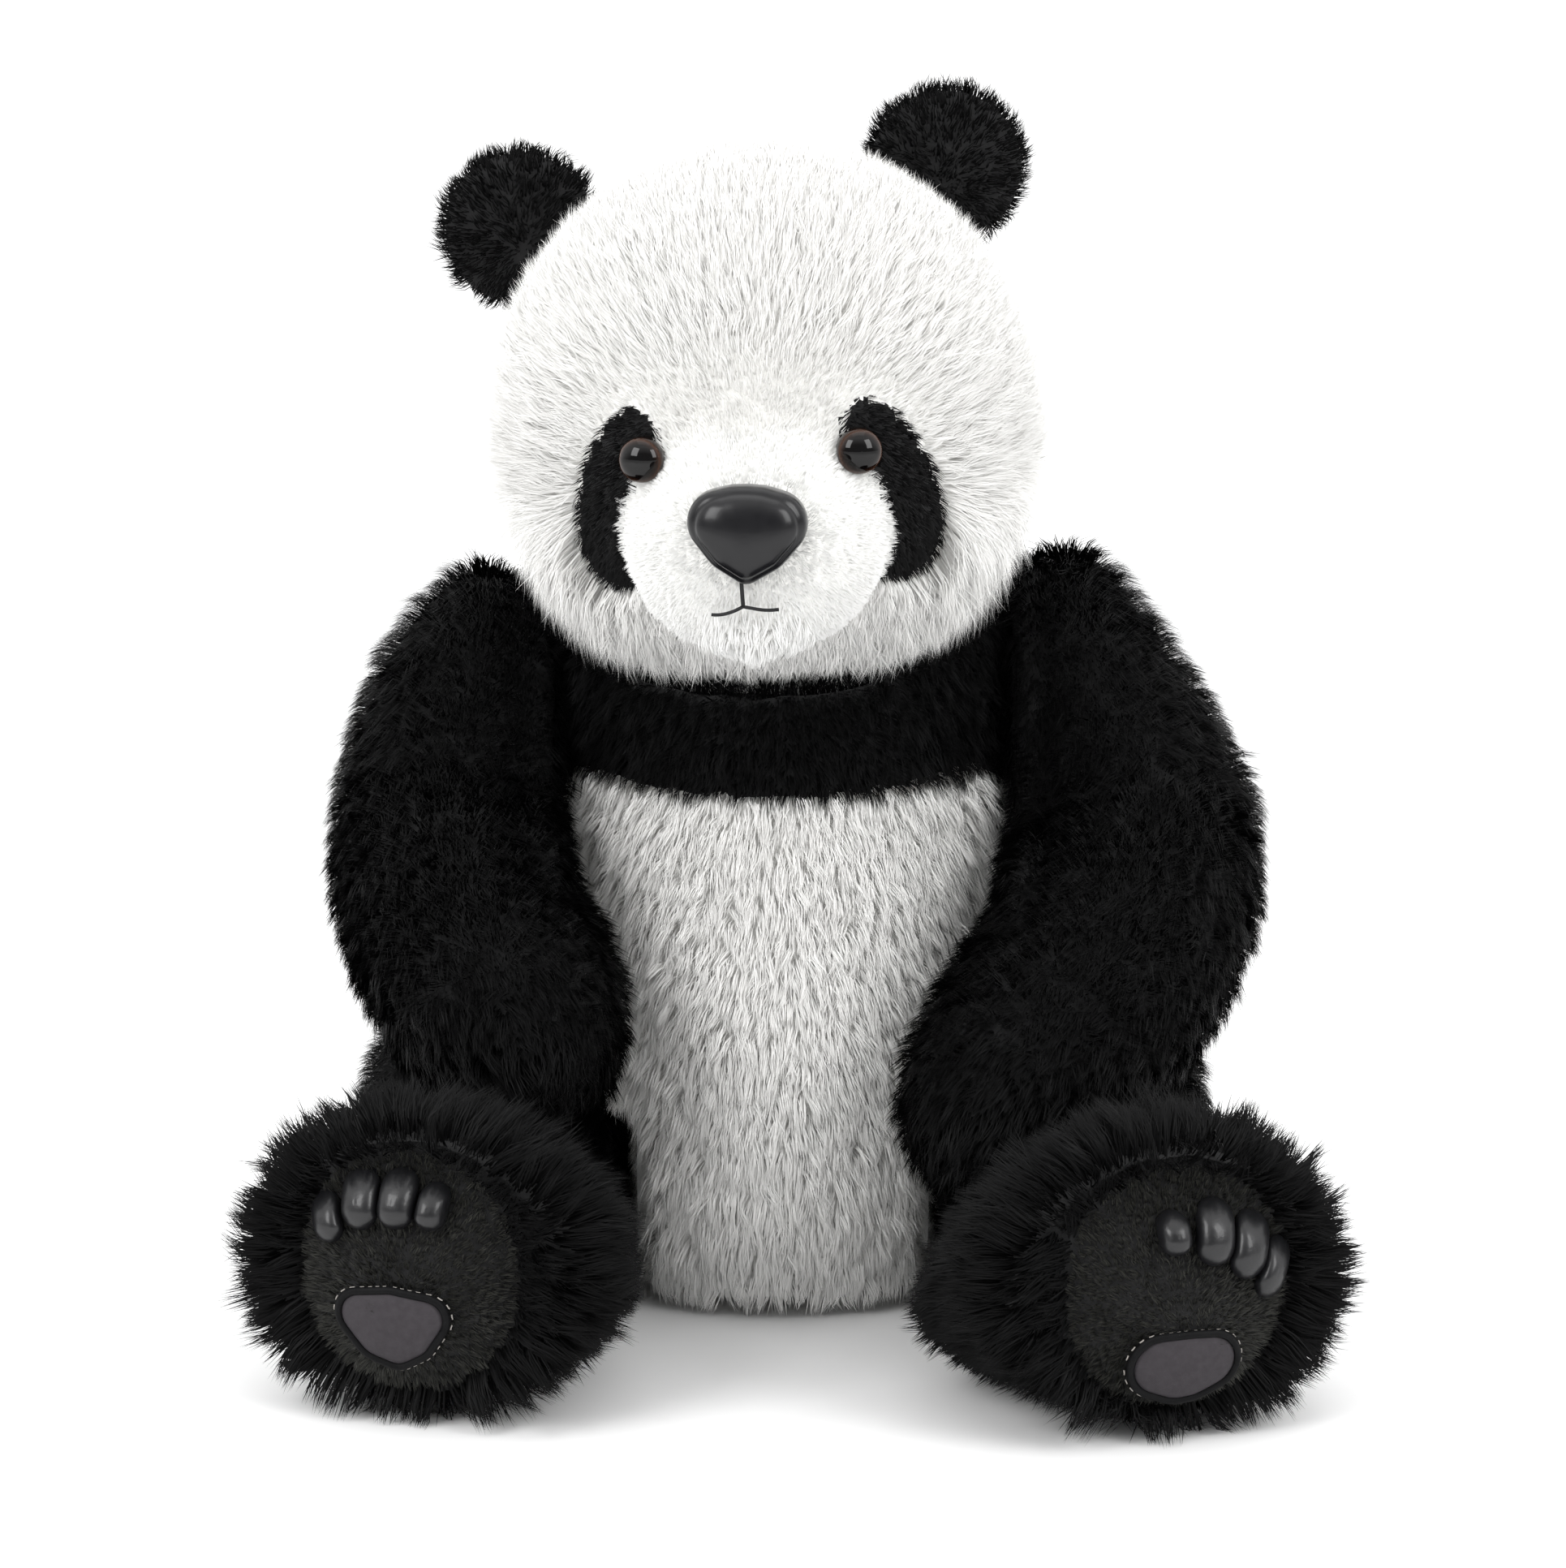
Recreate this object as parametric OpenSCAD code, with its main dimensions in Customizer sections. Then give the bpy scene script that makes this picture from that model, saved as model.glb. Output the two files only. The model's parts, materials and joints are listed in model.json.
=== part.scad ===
// Seated plush panda, in millimetres.
// The toy faces -Y, +Z is up, and the origin is the middle of the box that it fills, at floor level.
// Each fur panel, filling, eye, nose and pad is a solid of its own. The head, arms and legs turn on the torso.

/* [Whole toy] */
// Thickness of a fur panel: backing cloth and pile together
pile = 9; // [5:1:12]
// Gap between a panel and the filling behind it
skin_gap = 0.3; // [0.1:0.1:1]
// Gap between parts that move on each other
move_gap = 0.8; // [0.5:0.1:2]

/* [Head] */
// Radius of the head ball
head_r = 79; // [74:1:82]
// Height of the middle of the head ball
head_z = 256; // [250:1:262]
// Radius of the two balls, side by side, that make the muzzle
muzzle_r = 32; // [30:1:34]
// Half the distance between the eyes
eye_x = 30; // [28:1:32]
// Radius of each eye
eye_r = 7; // [6:0.5:7.5]
// Radius of each round ear
ear_r = 26; // [20:1:27]
// Turn of the face about the vertical, towards the toy's right
face_yaw = 3.2; // [-8:0.1:8]
// Lean of the face to one side
face_roll = 2.8; // [-6:0.1:6]

/* [Torso] */
// Height at which the white belly ends and the black yoke starts
yoke_z = 153; // [145:1:170]
// Radius of the stuffed neck
neck_r = 24; // [20:1:28]

/* [Arms] */
// Radius of the rounded shoulder end of each arm
shoulder_r = 35; // [30:1:36]
// Radius of each paw
paw_r = 33; // [28:1:34]

/* [Legs] */
// Radius of the round haunch
haunch_r = 41; // [38:1:42]
// Reach of the toy's right foot, from the hip to the sole
reach_right = 152; // [145:1:160]
// Reach of the toy's left foot, from the hip to the sole
reach_left = 166; // [158:1:175]

/* [Hidden] */

black_pile = "#181818";
white_pile = "#f2f1ec";
filling_white = "#fafafa";

// Middle of the box that the whole toy fills, measured from the torso's own upright axis
box_middle = [2, -42.3, 0];
RIGHT = -1;
LEFT = 1;

head_middle = [-5, -20, head_z];
muzzle_middle = [6, -68, -27];
eye_middle = [eye_x, -sqrt(pow(head_r, 2) - pow(eye_x, 2)), -2];
skull_r = head_r - pile;
hip_axis = [0, -15, haunch_r];
haunch_in = 44;
flank = 65.4;
arm_root = flank + move_gap;
haunch_out = 128;
ring_sides = 24;

// ---- Curves and rings ----

// A point on a smooth curve through the listed stations, at step i of n between stations k and k + 1
function station(list, k) = list[max(0, min(len(list) - 1, k))];
function between(list, k, t) =
    let(a = station(list, k - 1), b = station(list, k), c = station(list, k + 1), d = station(list, k + 2))
    0.5 * (2 * b + (c - a) * t + (2 * a - 5 * b + 4 * c - d) * t * t + (3 * b - a - 3 * c + d) * t * t * t);
function smooth(list, steps) = [
    for (k = [0 : len(list) - 2]) for (i = [0 : steps - 1]) between(list, k, i / steps),
    list[len(list) - 1]
];
function unit(v) = v / norm(v);

// Ring of points round a middle: wide along side, tall along the direction square to it and to the path
function ring(middle, along, side, wide, tall) =
    let(s = unit(side - along * (side * along)), u = cross(s, along))
    [for (j = [0 : ring_sides - 1]) let(a = 360 * j / ring_sides) middle + s * wide * cos(a) + u * tall * sin(a)];

// Closed body through rings, each given as [x, y, z, half width, half height], and flat at both ends.
// grow makes it fatter or thinner; first_grow and last_grow move its two ends
module lofted(stations, steps, side, grow = 0, first_grow = 0, last_grow = 0) {
    path = smooth(stations, steps);
    n = len(path);
    line = [for (p = path) [p[0], p[1], p[2]]];
    alongs = [for (i = [0 : n - 1]) unit(line[min(n - 1, i + 1)] - line[max(0, i - 1)])];
    middles = [for (i = [0 : n - 1])
        line[i] + alongs[i] * (last_grow * i - first_grow * (n - 1 - i)) / (n - 1)];
    rings = [for (i = [0 : n - 1])
        ring(middles[i], alongs[i], side, max(0.5, path[i][3] + grow), max(0.5, path[i][4] + grow))];
    first = n * ring_sides;
    last = first + 1;
    polyhedron(
        points = concat([for (r = rings) each r], [middles[0], middles[n - 1]]),
        faces = concat(
            [for (i = [0 : n - 2]) for (j = [0 : ring_sides - 1]) let(k = (j + 1) % ring_sides)
                each [[i * ring_sides + j, i * ring_sides + k, (i + 1) * ring_sides + j],
                      [i * ring_sides + k, (i + 1) * ring_sides + k, (i + 1) * ring_sides + j]]],
            [for (j = [0 : ring_sides - 1]) [first, (j + 1) % ring_sides, j]],
            [for (j = [0 : ring_sides - 1])
                [last, (n - 1) * ring_sides + j, (n - 1) * ring_sides + (j + 1) % ring_sides]]
        ),
        convexity = 6
    );
}

// Moves the toy so that the origin is the middle of its box
module in_place() {
    translate(-box_middle) children();
}

// ---- Torso ----

// Stations up the torso: x, y, z, half width, half depth
torso_stations = [
    [0, 0, 0, 58, 62], [0, 0, 6, 70, 76], [0, 0, 26, 77, 85], [0, 0, 58, 75, 87], [0, 0, 98, 69, 83],
    [0, 2, 135, 67, 77], [0, 5, 165, 68, 70], [-1, 10, 190, 70, 60], [-2, 17, 208, 66, 47],
    [-3, 22, 222, 52, 30], [-4, 24, 230, 26, 14]
];

module torso_body(inset = 0) {
    intersection() {
        lofted(torso_stations, 2, [1, 0, 0], -inset, -inset, -inset);
        union() {
            translate([-100, -150, -20]) cube([200, 300, 20 + hip_axis[2] - inset]);
            translate([inset - flank, -150, 5]) cube([2 * (flank - inset), 300, 260]);
        }
    }
}

module head_pocket(grow) {
    translate(head_middle) sphere(r = head_r + grow, $fn = 64);
}

module hip_pockets(grow) {
    for (side = [RIGHT, LEFT])
        translate([side * (haunch_in - grow), hip_axis[1], hip_axis[2]])
            rotate([0, side * 90, 0])
                cylinder(r = haunch_r + grow, h = 70, $fn = 64);
}

// Room for the front of a leg to swing down from the hip
module leg_room(side, grow) {
    inner = haunch_in - grow;
    translate([side > 0 ? inner : -inner - 100, hip_axis[1] - 200, -30]) cube([100, 200, 88 + grow]);
}

module torso_pockets(grow = 0) {
    head_pocket(move_gap + grow);
    hip_pockets(move_gap + grow);
    for (side = [RIGHT, LEFT]) leg_room(side, move_gap + grow);
}

module torso_shell() {
    difference() {
        torso_body();
        torso_body(pile);
        torso_pockets();
        neck_column(skin_gap);
        pouch_body(skin_gap);
    }
}

module torso_filling() {
    color(filling_white) difference() {
        torso_body(pile + skin_gap);
        torso_pockets(1);
        neck_column(skin_gap);
        pouch_body(skin_gap);
    }
}

module below_yoke() {
    translate([-150, -150, pile]) cube([300, 300, yoke_z - pile]);
}

module belly_panel() {
    color(white_pile) intersection() {
        torso_shell();
        below_yoke();
        translate([-150, -200, 0]) cube([300, 200, 300]);
    }
}

module back_panel() {
    color(white_pile) intersection() {
        torso_shell();
        below_yoke();
        translate([-150, skin_gap, 0]) cube([300, 200, 300]);
    }
}

module yoke_panel() {
    color(black_pile) intersection() {
        torso_shell();
        translate([-150, -150, yoke_z + skin_gap]) cube([300, 300, 200]);
    }
}

module seat_panel() {
    color(white_pile) intersection() {
        torso_shell();
        translate([-150, -150, -1]) cube([300, 300, 1 + pile - skin_gap]);
    }
}

module pouch_body(grow = 0) {
    translate([0, 12, 12 - grow]) cylinder(r = 32 + grow, h = 34 + 2 * grow, $fn = 64);
}

module pellet_pouch() {
    color("gainsboro") difference() {
        pouch_body();
        pouch_body(-1.5);
    }
}

module pellets() {
    color("ivory") pouch_body(-1.5 - skin_gap);
}

module neck_column(grow = 0) {
    translate([head_middle[0], head_middle[1], 148 - grow])
        cylinder(r = neck_r + grow, h = 62 + 2 * grow, $fn = 64);
}

module neck_filling() {
    color(filling_white) neck_column();
}

module tail() {
    color(white_pile) difference() {
        hull() {
            translate([0, 84, 34]) sphere(r = 15, $fn = 32);
            translate([0, 97, 27]) sphere(r = 12, $fn = 32);
        }
        torso_body(-skin_gap);
    }
}

// ---- Head ----

module at_head() {
    translate(head_middle) children();
}

module at_face() {
    at_head() rotate([0, -face_roll, 0]) rotate([0, 0, -face_yaw]) children();
}

module ball_shell() {
    difference() {
        sphere(r = head_r, $fn = 48);
        sphere(r = skull_r, $fn = 48);
    }
}

module muzzle_ball(grow = 0) {
    for (side = [RIGHT, LEFT])
        translate([side * muzzle_middle[0], muzzle_middle[1], muzzle_middle[2]])
            sphere(r = muzzle_r + grow, $fn = 96);
}

module chin_ball(grow = 0) {
    translate([0, -80, -45]) sphere(r = 16 + grow, $fn = 40);
}

// Outline of the black tear round an eye, wider at its lower end
function tear(side, grow) = [for (k = [0 : 35])
    let(a = 10 * k, across = (13.6 - 1.8 * sin(a) + grow) * cos(a), along = (27 + grow) * sin(a))
    [side * (36 + across * 0.983 - along * 0.186), -15 + along * 0.983 + across * 0.186]];

// The tear, seen from the front and cut straight back through the pile
module patch_outline(side, grow = 0) {
    translate([0, -20, 0]) rotate([90, 0, 0]) linear_extrude(height = 90) polygon(tear(side, grow));
}

// Turns a shape made along +Z so that it points out of an eye
module at_eye(side) {
    out = unit([side * eye_middle[0], eye_middle[1], eye_middle[2]]);
    translate([side * eye_middle[0], eye_middle[1], eye_middle[2]])
        rotate([0, acos(out[2]), atan2(out[1], out[0])]) children();
}

module eye_space(side, grow) {
    at_eye(side) {
        translate([0, 0, -23 - grow]) cylinder(r = eye_r + grow, h = 45, $fn = 32);
    }
}

module face_pieces_space(grow) {
    muzzle_ball(grow);
    chin_ball(grow);
    for (side = [RIGHT, LEFT]) eye_space(side, grow);
}

// Opening at the bottom of the head, round the neck
module neck_hole(room) {
    at_head() translate([0, 0, -head_r - 10]) cylinder(r = neck_r + room, h = 45, $fn = 64);
}

module gusset_region(grow = 0) {
    translate([-24 - grow, -100, -28]) cube([48 + 2 * grow, 200, 130]);
    translate([-24 - grow, 0, -100]) cube([48 + 2 * grow, 100, 90]);
}

module head_skin(side) {
    difference() {
        at_face() intersection() {
            difference() {
                ball_shell();
                face_pieces_space(skin_gap);
                patch_outline(side, skin_gap);
                gusset_region(skin_gap);
            }
            translate([side > 0 ? skin_gap / 2 : -100 - skin_gap / 2, -100, -100]) cube([100, 200, 200]);
        }
        neck_hole(4);
        ear_root(side, skin_gap);
    }
}

module head_gusset() {
    color(white_pile) difference() {
        at_face() difference() {
            intersection() {
                ball_shell();
                gusset_region();
            }
            face_pieces_space(skin_gap);
            patch_outline(RIGHT, skin_gap);
            patch_outline(LEFT, skin_gap);
        }
        neck_hole(4);
        ear_root(RIGHT, skin_gap);
        ear_root(LEFT, skin_gap);
    }
}

module head_side(side) {
    color(white_pile) head_skin(side);
}

module head_filling() {
    color(filling_white) difference() {
        at_face() difference() {
            sphere(r = skull_r - skin_gap, $fn = 48);
            muzzle_ball(skin_gap);
            for (side = [RIGHT, LEFT]) eye_space(side, skin_gap);
        }
        neck_hole(0.6);
    }
}

module muzzle_cover() {
    color(white_pile) at_face() difference() {
        muzzle_ball();
        muzzle_ball(-5);
        sphere(r = skull_r - skin_gap, $fn = 48);
        chin_ball(skin_gap);
        nose_space(skin_gap);
        mouth_room();
        for (s = [RIGHT, LEFT]) eye_space(s, skin_gap);
    }
}

module muzzle_filling() {
    color(filling_white) at_face() difference() {
        muzzle_ball(-5 - skin_gap);
        chin_ball(2 * skin_gap);
        nose_space(skin_gap);
        for (s = [RIGHT, LEFT]) eye_space(s, 2 * skin_gap);
    }
}

module chin() {
    color(white_pile) at_face() difference() {
        chin_ball();
        sphere(r = skull_r + skin_gap, $fn = 48);
    }
}

// Smooth rounded triangle, wide at the top
module nose_body(grow = 0) {
    hull() {
        for (side = [RIGHT, LEFT]) translate([side * 8.6, -100, -12.6]) sphere(r = 7.6 + grow, $fn = 32);
        translate([0, -101.5, -12]) sphere(r = 8.4 + grow, $fn = 32);
        translate([0, -99.5, -26]) sphere(r = 4.4 + grow, $fn = 32);
    }
}

module nose_stem(grow = 0) {
    translate([0, -95, -16]) rotate([-90, 0, 0]) cylinder(r = 2.5 + grow, h = 22, $fn = 32);
}

module nose_ring(grow = 0) {
    translate([0, -84 - grow, -16]) rotate([-90, 0, 0]) cylinder(r = 9 + grow, h = 2 + 2 * grow, $fn = 48);
}

module nose_space(grow) {
    nose_body(grow);
    nose_stem(grow);
    nose_ring(grow);
}

module nose() {
    color("#1c1c1e") at_face() union() {
        nose_body();
        nose_stem();
    }
}

module nose_washer() {
    color("white") at_face() difference() {
        nose_ring();
        nose_stem(0.1);
    }
}

// Thread from the nose down to the lip, then along the lip on both sides
module mouth_thread(grow = 0) {
    translate([0, -104, -41]) cube([1.8 + 2 * grow, 9 + 2 * grow, 24], center = true);
}

module lip_thread(side, grow = 0) {
    translate([0, -93, -42]) rotate([0, side * 12, 0]) translate([side * 7, -2, 0])
        cube([14 + 2 * grow, 9 + 2 * grow, 1.8 + 2 * grow], center = true);
}

module lips(grow = 0) {
    mouth_thread(grow);
    for (side = [RIGHT, LEFT]) lip_thread(side, grow);
}

module mouth_room() {
    difference() {
        lips(skin_gap);
        muzzle_ball(-2.3);
    }
}

module mouth_stitching() {
    color("black") at_face() difference() {
        intersection() {
            lips();
            muzzle_ball(0.6);
        }
        muzzle_ball(-2);
        nose_body(skin_gap);
        chin_ball(skin_gap);
    }
}

// Ring of thread drawn tight round the opening
module neck_ring() {
    at_head() translate([0, 0, -69])
        rotate_extrude($fn = 64) translate([neck_r + 2.3, 0]) circle(r = 1.4, $fn = 16);
}

module neck_seam() {
    color("white") neck_ring();
}

module eye_patch(side) {
    color(black_pile) at_face() difference() {
        intersection() {
            ball_shell();
            patch_outline(side);
        }
        muzzle_ball(skin_gap);
        eye_space(side, skin_gap);
    }
}

module eye_cup(side) {
    color("#3a1d10") at_face() at_eye(side) difference() {
        union() {
            translate([0, 0, -8]) cylinder(r = eye_r, h = 7, $fn = 48);
            translate([0, 0, -22]) cylinder(r = 1.9, h = 14.5, $fn = 32);
        }
        translate([0, 0, -2]) cylinder(r = 4.6, h = 3, $fn = 48);
    }
}

module eye_pupil(side) {
    color("black") at_face() at_eye(side) translate([0, 0, -1.95]) cylinder(r = 4.5, h = 0.9, $fn = 48);
}

module eye_lens(side) {
    color([0.9, 0.9, 0.95, 0.4]) at_face() at_eye(side) intersection() {
        translate([0, 0, -5.2]) sphere(r = 8.2, $fn = 48);
        translate([0, 0, -0.9]) cylinder(r = eye_r, h = 8, $fn = 48);
    }
}

module eye_washer(side) {
    color("white") at_face() at_eye(side) translate([0, 0, -18]) difference() {
        cylinder(r = 6.5, h = 2, $fn = 48);
        translate([0, 0, -1]) cylinder(r = 2, h = 4, $fn = 32);
    }
}

// Middle of each ear, from the middle of the head, and its lean
function ear_middle(side) = side == RIGHT ? [-71, 18, 51] : [52, 18, 69];
ear_thick = 18;

module ear_disc(side, grow = 0) {
    m = ear_middle(side);
    translate(m) rotate([0, atan2(m[0], m[2]), 0]) rotate([90, 0, 0]) rotate_extrude($fn = 64)
        intersection() {
            translate([ear_r - ear_thick / 2, 0]) union() {
                circle(r = ear_thick / 2 + grow, $fn = 32);
                translate([-40, -ear_thick / 2 - grow]) square([40, ear_thick + 2 * grow]);
            }
            translate([0, -50]) square([100, 100]);
        }
}

module ear_root(side, grow) {
    at_head() difference() {
        ear_disc(side, grow);
        sphere(r = head_r - 4 - grow, $fn = 64);
    }
}

module ear_half(side, back) {
    color(black_pile) at_head() difference() {
        ear_disc(side);
        sphere(r = head_r - 4, $fn = 64);
        translate([-150, back ? ear_middle(side)[1] - 60 : ear_middle(side)[1] - skin_gap / 2, -150])
            cube([300, 60, 300]);
    }
}

// ---- Arms ----

function shoulder(side) = side == RIGHT ? [-92, -5, 168] : [92, -3, 178];
// Stations down each arm, from the top of the shoulder: x, y, z, half width, half height
function arm_stations(side) = side == RIGHT ? [
    [-83, 17, 202, 12, 13], [-85, 12, 196, 21, 25], [-91, -5, 172, 33, shoulder_r],
    [-98, -34, 137, 36, 38], [-92, -64, 117, 37, 38], [-80, -90, 103, 37, 36],
    [-72, -106, 92, paw_r, paw_r], [-67, -121, 84, 23, 25], [-65, -128, 80, 11, 13]
] : [
    [83, 19, 206, 12, 13], [84, 13, 200, 20, 25], [88, -3, 178, 29, shoulder_r],
    [105, -34, 137, 37, 38], [95, -66, 109, 39, 38], [75, -93, 88, 38, 36],
    [59, -112, 74, paw_r, paw_r - 1], [49, -125, 67, 22, 23], [45, -131, 64, 11, 12]
];

// Arm with a flat root beside the torso
module arm_body(side, inset = 0) {
    difference() {
        lofted(arm_stations(side), 2, [1, 0, 0], -inset, -inset, -inset);
        translate([-arm_root - inset, -62 - inset, 0]) cube([2 * (arm_root + inset), 200, 300]);
    }
}

module arm_cover(side) {
    color(black_pile) difference() {
        arm_body(side);
        arm_body(side, pile);
    }
}

module arm_filling(side) {
    color(filling_white) arm_body(side, pile + skin_gap);
}

// ---- Legs ----

function foot_y(side) = hip_axis[1] - (side == RIGHT ? reach_right : reach_left);

// Round haunch, turned about the hip's own axis
module haunch_body(side, inset = 0) {
    corner = 14;
    bulge = 30;
    translate([0, hip_axis[1], hip_axis[2]]) rotate([0, side * 90, 0]) rotate_extrude($fn = 64)
        intersection() {
            union() {
                translate([0, haunch_in + inset]) square([haunch_r - inset, haunch_out - bulge - haunch_in - inset]);
                translate([haunch_r - bulge, haunch_out - bulge]) circle(r = bulge - inset, $fn = 48);
                translate([0, haunch_in + inset]) square([haunch_r - bulge, haunch_out - haunch_in - 2 * inset]);
            }
            translate([0, 0]) square([100, 200]);
        }
}

// Hollow in the back of a lower leg, where it wraps round the haunch
module hip_hollow() {
    translate([0, hip_axis[1], hip_axis[2]]) rotate([0, 90, 0])
        cylinder(r = haunch_r + skin_gap, h = 400, center = true, $fn = 96);
}

module haunch_cover(side) {
    color(black_pile) difference() {
        haunch_body(side);
        haunch_body(side, pile);
    }
}

module haunch_filling(side) {
    color(filling_white) haunch_body(side, pile + skin_gap);
}

// Lean of a sole, its top edge set back, and its turn outwards
sole_lean = 6;
sole_turn = 13;
sole_z = 44;
dome_r = 55;
dome_rise = 8;

// Stations along each lower leg and foot: x, y, z, half width, half height
function foot_stations(side) =
    let(y = foot_y(side), out = side == RIGHT ? 0 : 4, wide = side == RIGHT ? 0 : 5, low = side == RIGHT ? 0 : 5)
    [
        [side * 78, hip_axis[1] - 20, 29 - low / 2, 28, 26 - low / 2],
        [side * 80, hip_axis[1] - 45, 28 - low, 33, 27 - low],
        [side * 84, hip_axis[1] - 75, 28 - low, 40, 27 - low],
        [side * (88 + out - wide), y + 46, 30 - low * 1.3, 46 + out + wide, 29 - low * 1.3],
        [side * (92 + out), y + 26, 36.5, 53 + wide / 2, 36],
        [side * (96 + out), y + 15, 43, 53, 42.5],
        [side * (99 + out), y + 6, 44, 50, 42.5], [side * (101 + out), y - 1, 44, 43, 39]
    ];

module foot_body(side, inset = 0) {
    lofted(foot_stations(side), 2, [1, 0, 0], -inset, -inset, -inset * 1.7);
}

// Places a shape made on the XY plane against the front of a foot, its +Z coming out of the sole
module at_sole(side) {
    translate([side * (101 + (side == RIGHT ? 0 : 4)), foot_y(side), sole_z])
        rotate([0, 0, side * sole_turn]) rotate([90 - sole_lean, 0, 0]) children();
}

// Outline of a sole, a little higher than it is wide
module sole_outline(grow = 0) {
    translate([0, -3]) circle(r = 29 + grow, $fn = 64);
    translate([0, 3]) circle(r = 29 + grow, $fn = 64);
    translate([0, 0]) square([58 + 2 * grow, 6], center = true);
}

module dome(grow = 0) {
    translate([0, 0, dome_rise - dome_r]) sphere(r = dome_r + grow, $fn = 96);
}

module sole(side) {
    color("#242422") at_sole(side) intersection() {
        difference() {
            dome();
            dome(-5);
        }
        translate([0, 0, -20]) linear_extrude(height = 40) sole_outline();
    }
}

module sole_room(side, grow) {
    at_sole(side) translate([0, 0, -14 - grow]) linear_extrude(height = 40) sole_outline(skin_gap);
}

module foot_cover(side) {
    color(black_pile) difference() {
        foot_body(side);
        foot_body(side, pile);
        hip_hollow();
        sole_room(side, 0);
    }
}

module foot_filling(side) {
    color(filling_white) difference() {
        foot_body(side, pile + skin_gap);
        hip_hollow();
    }
}

// Rounded heel pad, flat along its upper edge
module pad_outline(side, grow = 0) {
    hull() {
        for (x = [-8.5, 8.5]) translate([side * 3 + x, -12.5]) circle(r = 5.5 + grow, $fn = 32);
        translate([side * 3, -18.5]) circle(r = 6.5 + grow, $fn = 32);
    }
}

module heel_pad(side) {
    color("#3c393c") at_sole(side) intersection() {
        difference() {
            dome(3);
            dome(skin_gap);
        }
        linear_extrude(height = 40) pad_outline(side);
    }
}

module heel_stitching(side) {
    color("black") at_sole(side) intersection() {
        difference() {
            dome(2.4);
            dome(skin_gap);
        }
        linear_extrude(height = 40) difference() {
            pad_outline(side, 2);
            pad_outline(side, skin_gap);
        }
    }
}

// Four toes in an arc over the upper outer part of the sole: across, up, turn, half width
function toe_marks(side) = [
    [side * -9.5, 21, side * 9, 4.4], [side * 0.5, 22.5, side * 2, 4.8], [side * 11, 20.5, side * -8, 4.8],
    [side * 19.3, 13.6, side * -22, 4.1]
];

module toe_pads(side) {
    color("#2a2a2c") at_sole(side) for (m = toe_marks(side)) difference() {
        translate([m[0], m[1], 1.4 + dome_rise - norm([m[0], m[1]]) * 0.27]) rotate([0, 0, m[2]]) rotate([-22, 0, 0]) union() {
            translate([0, -3.4, 0]) sphere(r = m[3], $fn = 32);
            translate([0, 3.4, 0]) sphere(r = m[3], $fn = 32);
            rotate([90, 0, 0]) cylinder(r = m[3], h = 6.8, center = true, $fn = 32);
        }
        dome(skin_gap);
    }
}

// ---- Nodes ----

in_place() {
    torso_filling();
    belly_panel();
    yoke_panel();
    back_panel();
    seat_panel();
    pellet_pouch();
    pellets();
    neck_filling();
    tail();
    head_filling();
    head_gusset();
    head_side(RIGHT);  // head_side_right
    head_side(LEFT);  // head_side_left
    muzzle_cover();
    muzzle_filling();
    chin();
    nose();
    nose_washer();
    mouth_stitching();
    neck_seam();
    for (side = [RIGHT, LEFT]) {
        hand = side == RIGHT ? "right" : "left";
        eye_patch(side);
        eye_cup(side);
        eye_pupil(side);
        eye_lens(side);
        eye_washer(side);
        ear_half(side, false);
        ear_half(side, true);
        arm_cover(side);
        arm_filling(side);
        haunch_cover(side);
        haunch_filling(side);
        foot_cover(side);
        foot_filling(side);
        sole(side);
        heel_pad(side);
        heel_stitching(side);
        toe_pads(side);
    }
}
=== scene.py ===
# %% [markdown]
# # A plush panda
# This lesson dresses a seated toy panda. Its frame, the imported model, already holds every sewn panel,
# filling, eye and pad as a plain solid of the right size. Here those solids get what makes a plush toy:
# backing cloth that bulges between its seams, and a pile of many thousand short strands on it. Everything
# is in metres, in the frame's own axes: +Z is up and the toy faces -Y.

# %% The frame
import json
import math

import bpy
import numpy as np
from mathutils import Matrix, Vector
from mathutils.bvhtree import BVHTree
from mathutils.kdtree import KDTree

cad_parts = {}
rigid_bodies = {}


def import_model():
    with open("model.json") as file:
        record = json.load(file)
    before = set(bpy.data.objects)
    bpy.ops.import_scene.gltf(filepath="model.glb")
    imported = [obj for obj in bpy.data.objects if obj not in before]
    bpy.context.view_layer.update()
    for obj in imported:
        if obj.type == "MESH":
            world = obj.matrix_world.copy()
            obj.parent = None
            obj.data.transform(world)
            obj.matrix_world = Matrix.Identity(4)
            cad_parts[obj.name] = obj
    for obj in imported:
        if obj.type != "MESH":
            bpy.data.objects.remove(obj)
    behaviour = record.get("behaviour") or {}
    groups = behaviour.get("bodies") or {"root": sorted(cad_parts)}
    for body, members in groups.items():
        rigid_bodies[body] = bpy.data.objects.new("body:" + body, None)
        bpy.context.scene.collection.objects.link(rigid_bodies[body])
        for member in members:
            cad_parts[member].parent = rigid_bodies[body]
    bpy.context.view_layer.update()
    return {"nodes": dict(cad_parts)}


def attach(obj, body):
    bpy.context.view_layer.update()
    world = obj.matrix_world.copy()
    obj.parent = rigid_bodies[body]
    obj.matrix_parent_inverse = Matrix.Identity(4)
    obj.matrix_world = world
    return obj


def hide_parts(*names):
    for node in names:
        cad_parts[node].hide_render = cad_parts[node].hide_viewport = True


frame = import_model()
node = frame["nodes"]
MM = 0.001
HANDS = {"right": -1, "left": 1}

# %% [markdown]
# ## The camera, the floor and the light
# A small toy is usually pictured from a little above, from well back and with a long lens, on a white
# sweep with large soft lamps. The long lens keeps the big feet from looking bigger still. The floor is
# one pale plane that runs far past the view, so no horizon shows. The world is a soft white above and
# behind the toy that fades to a dark room in front of it, which is what keeps black plastic black.

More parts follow.
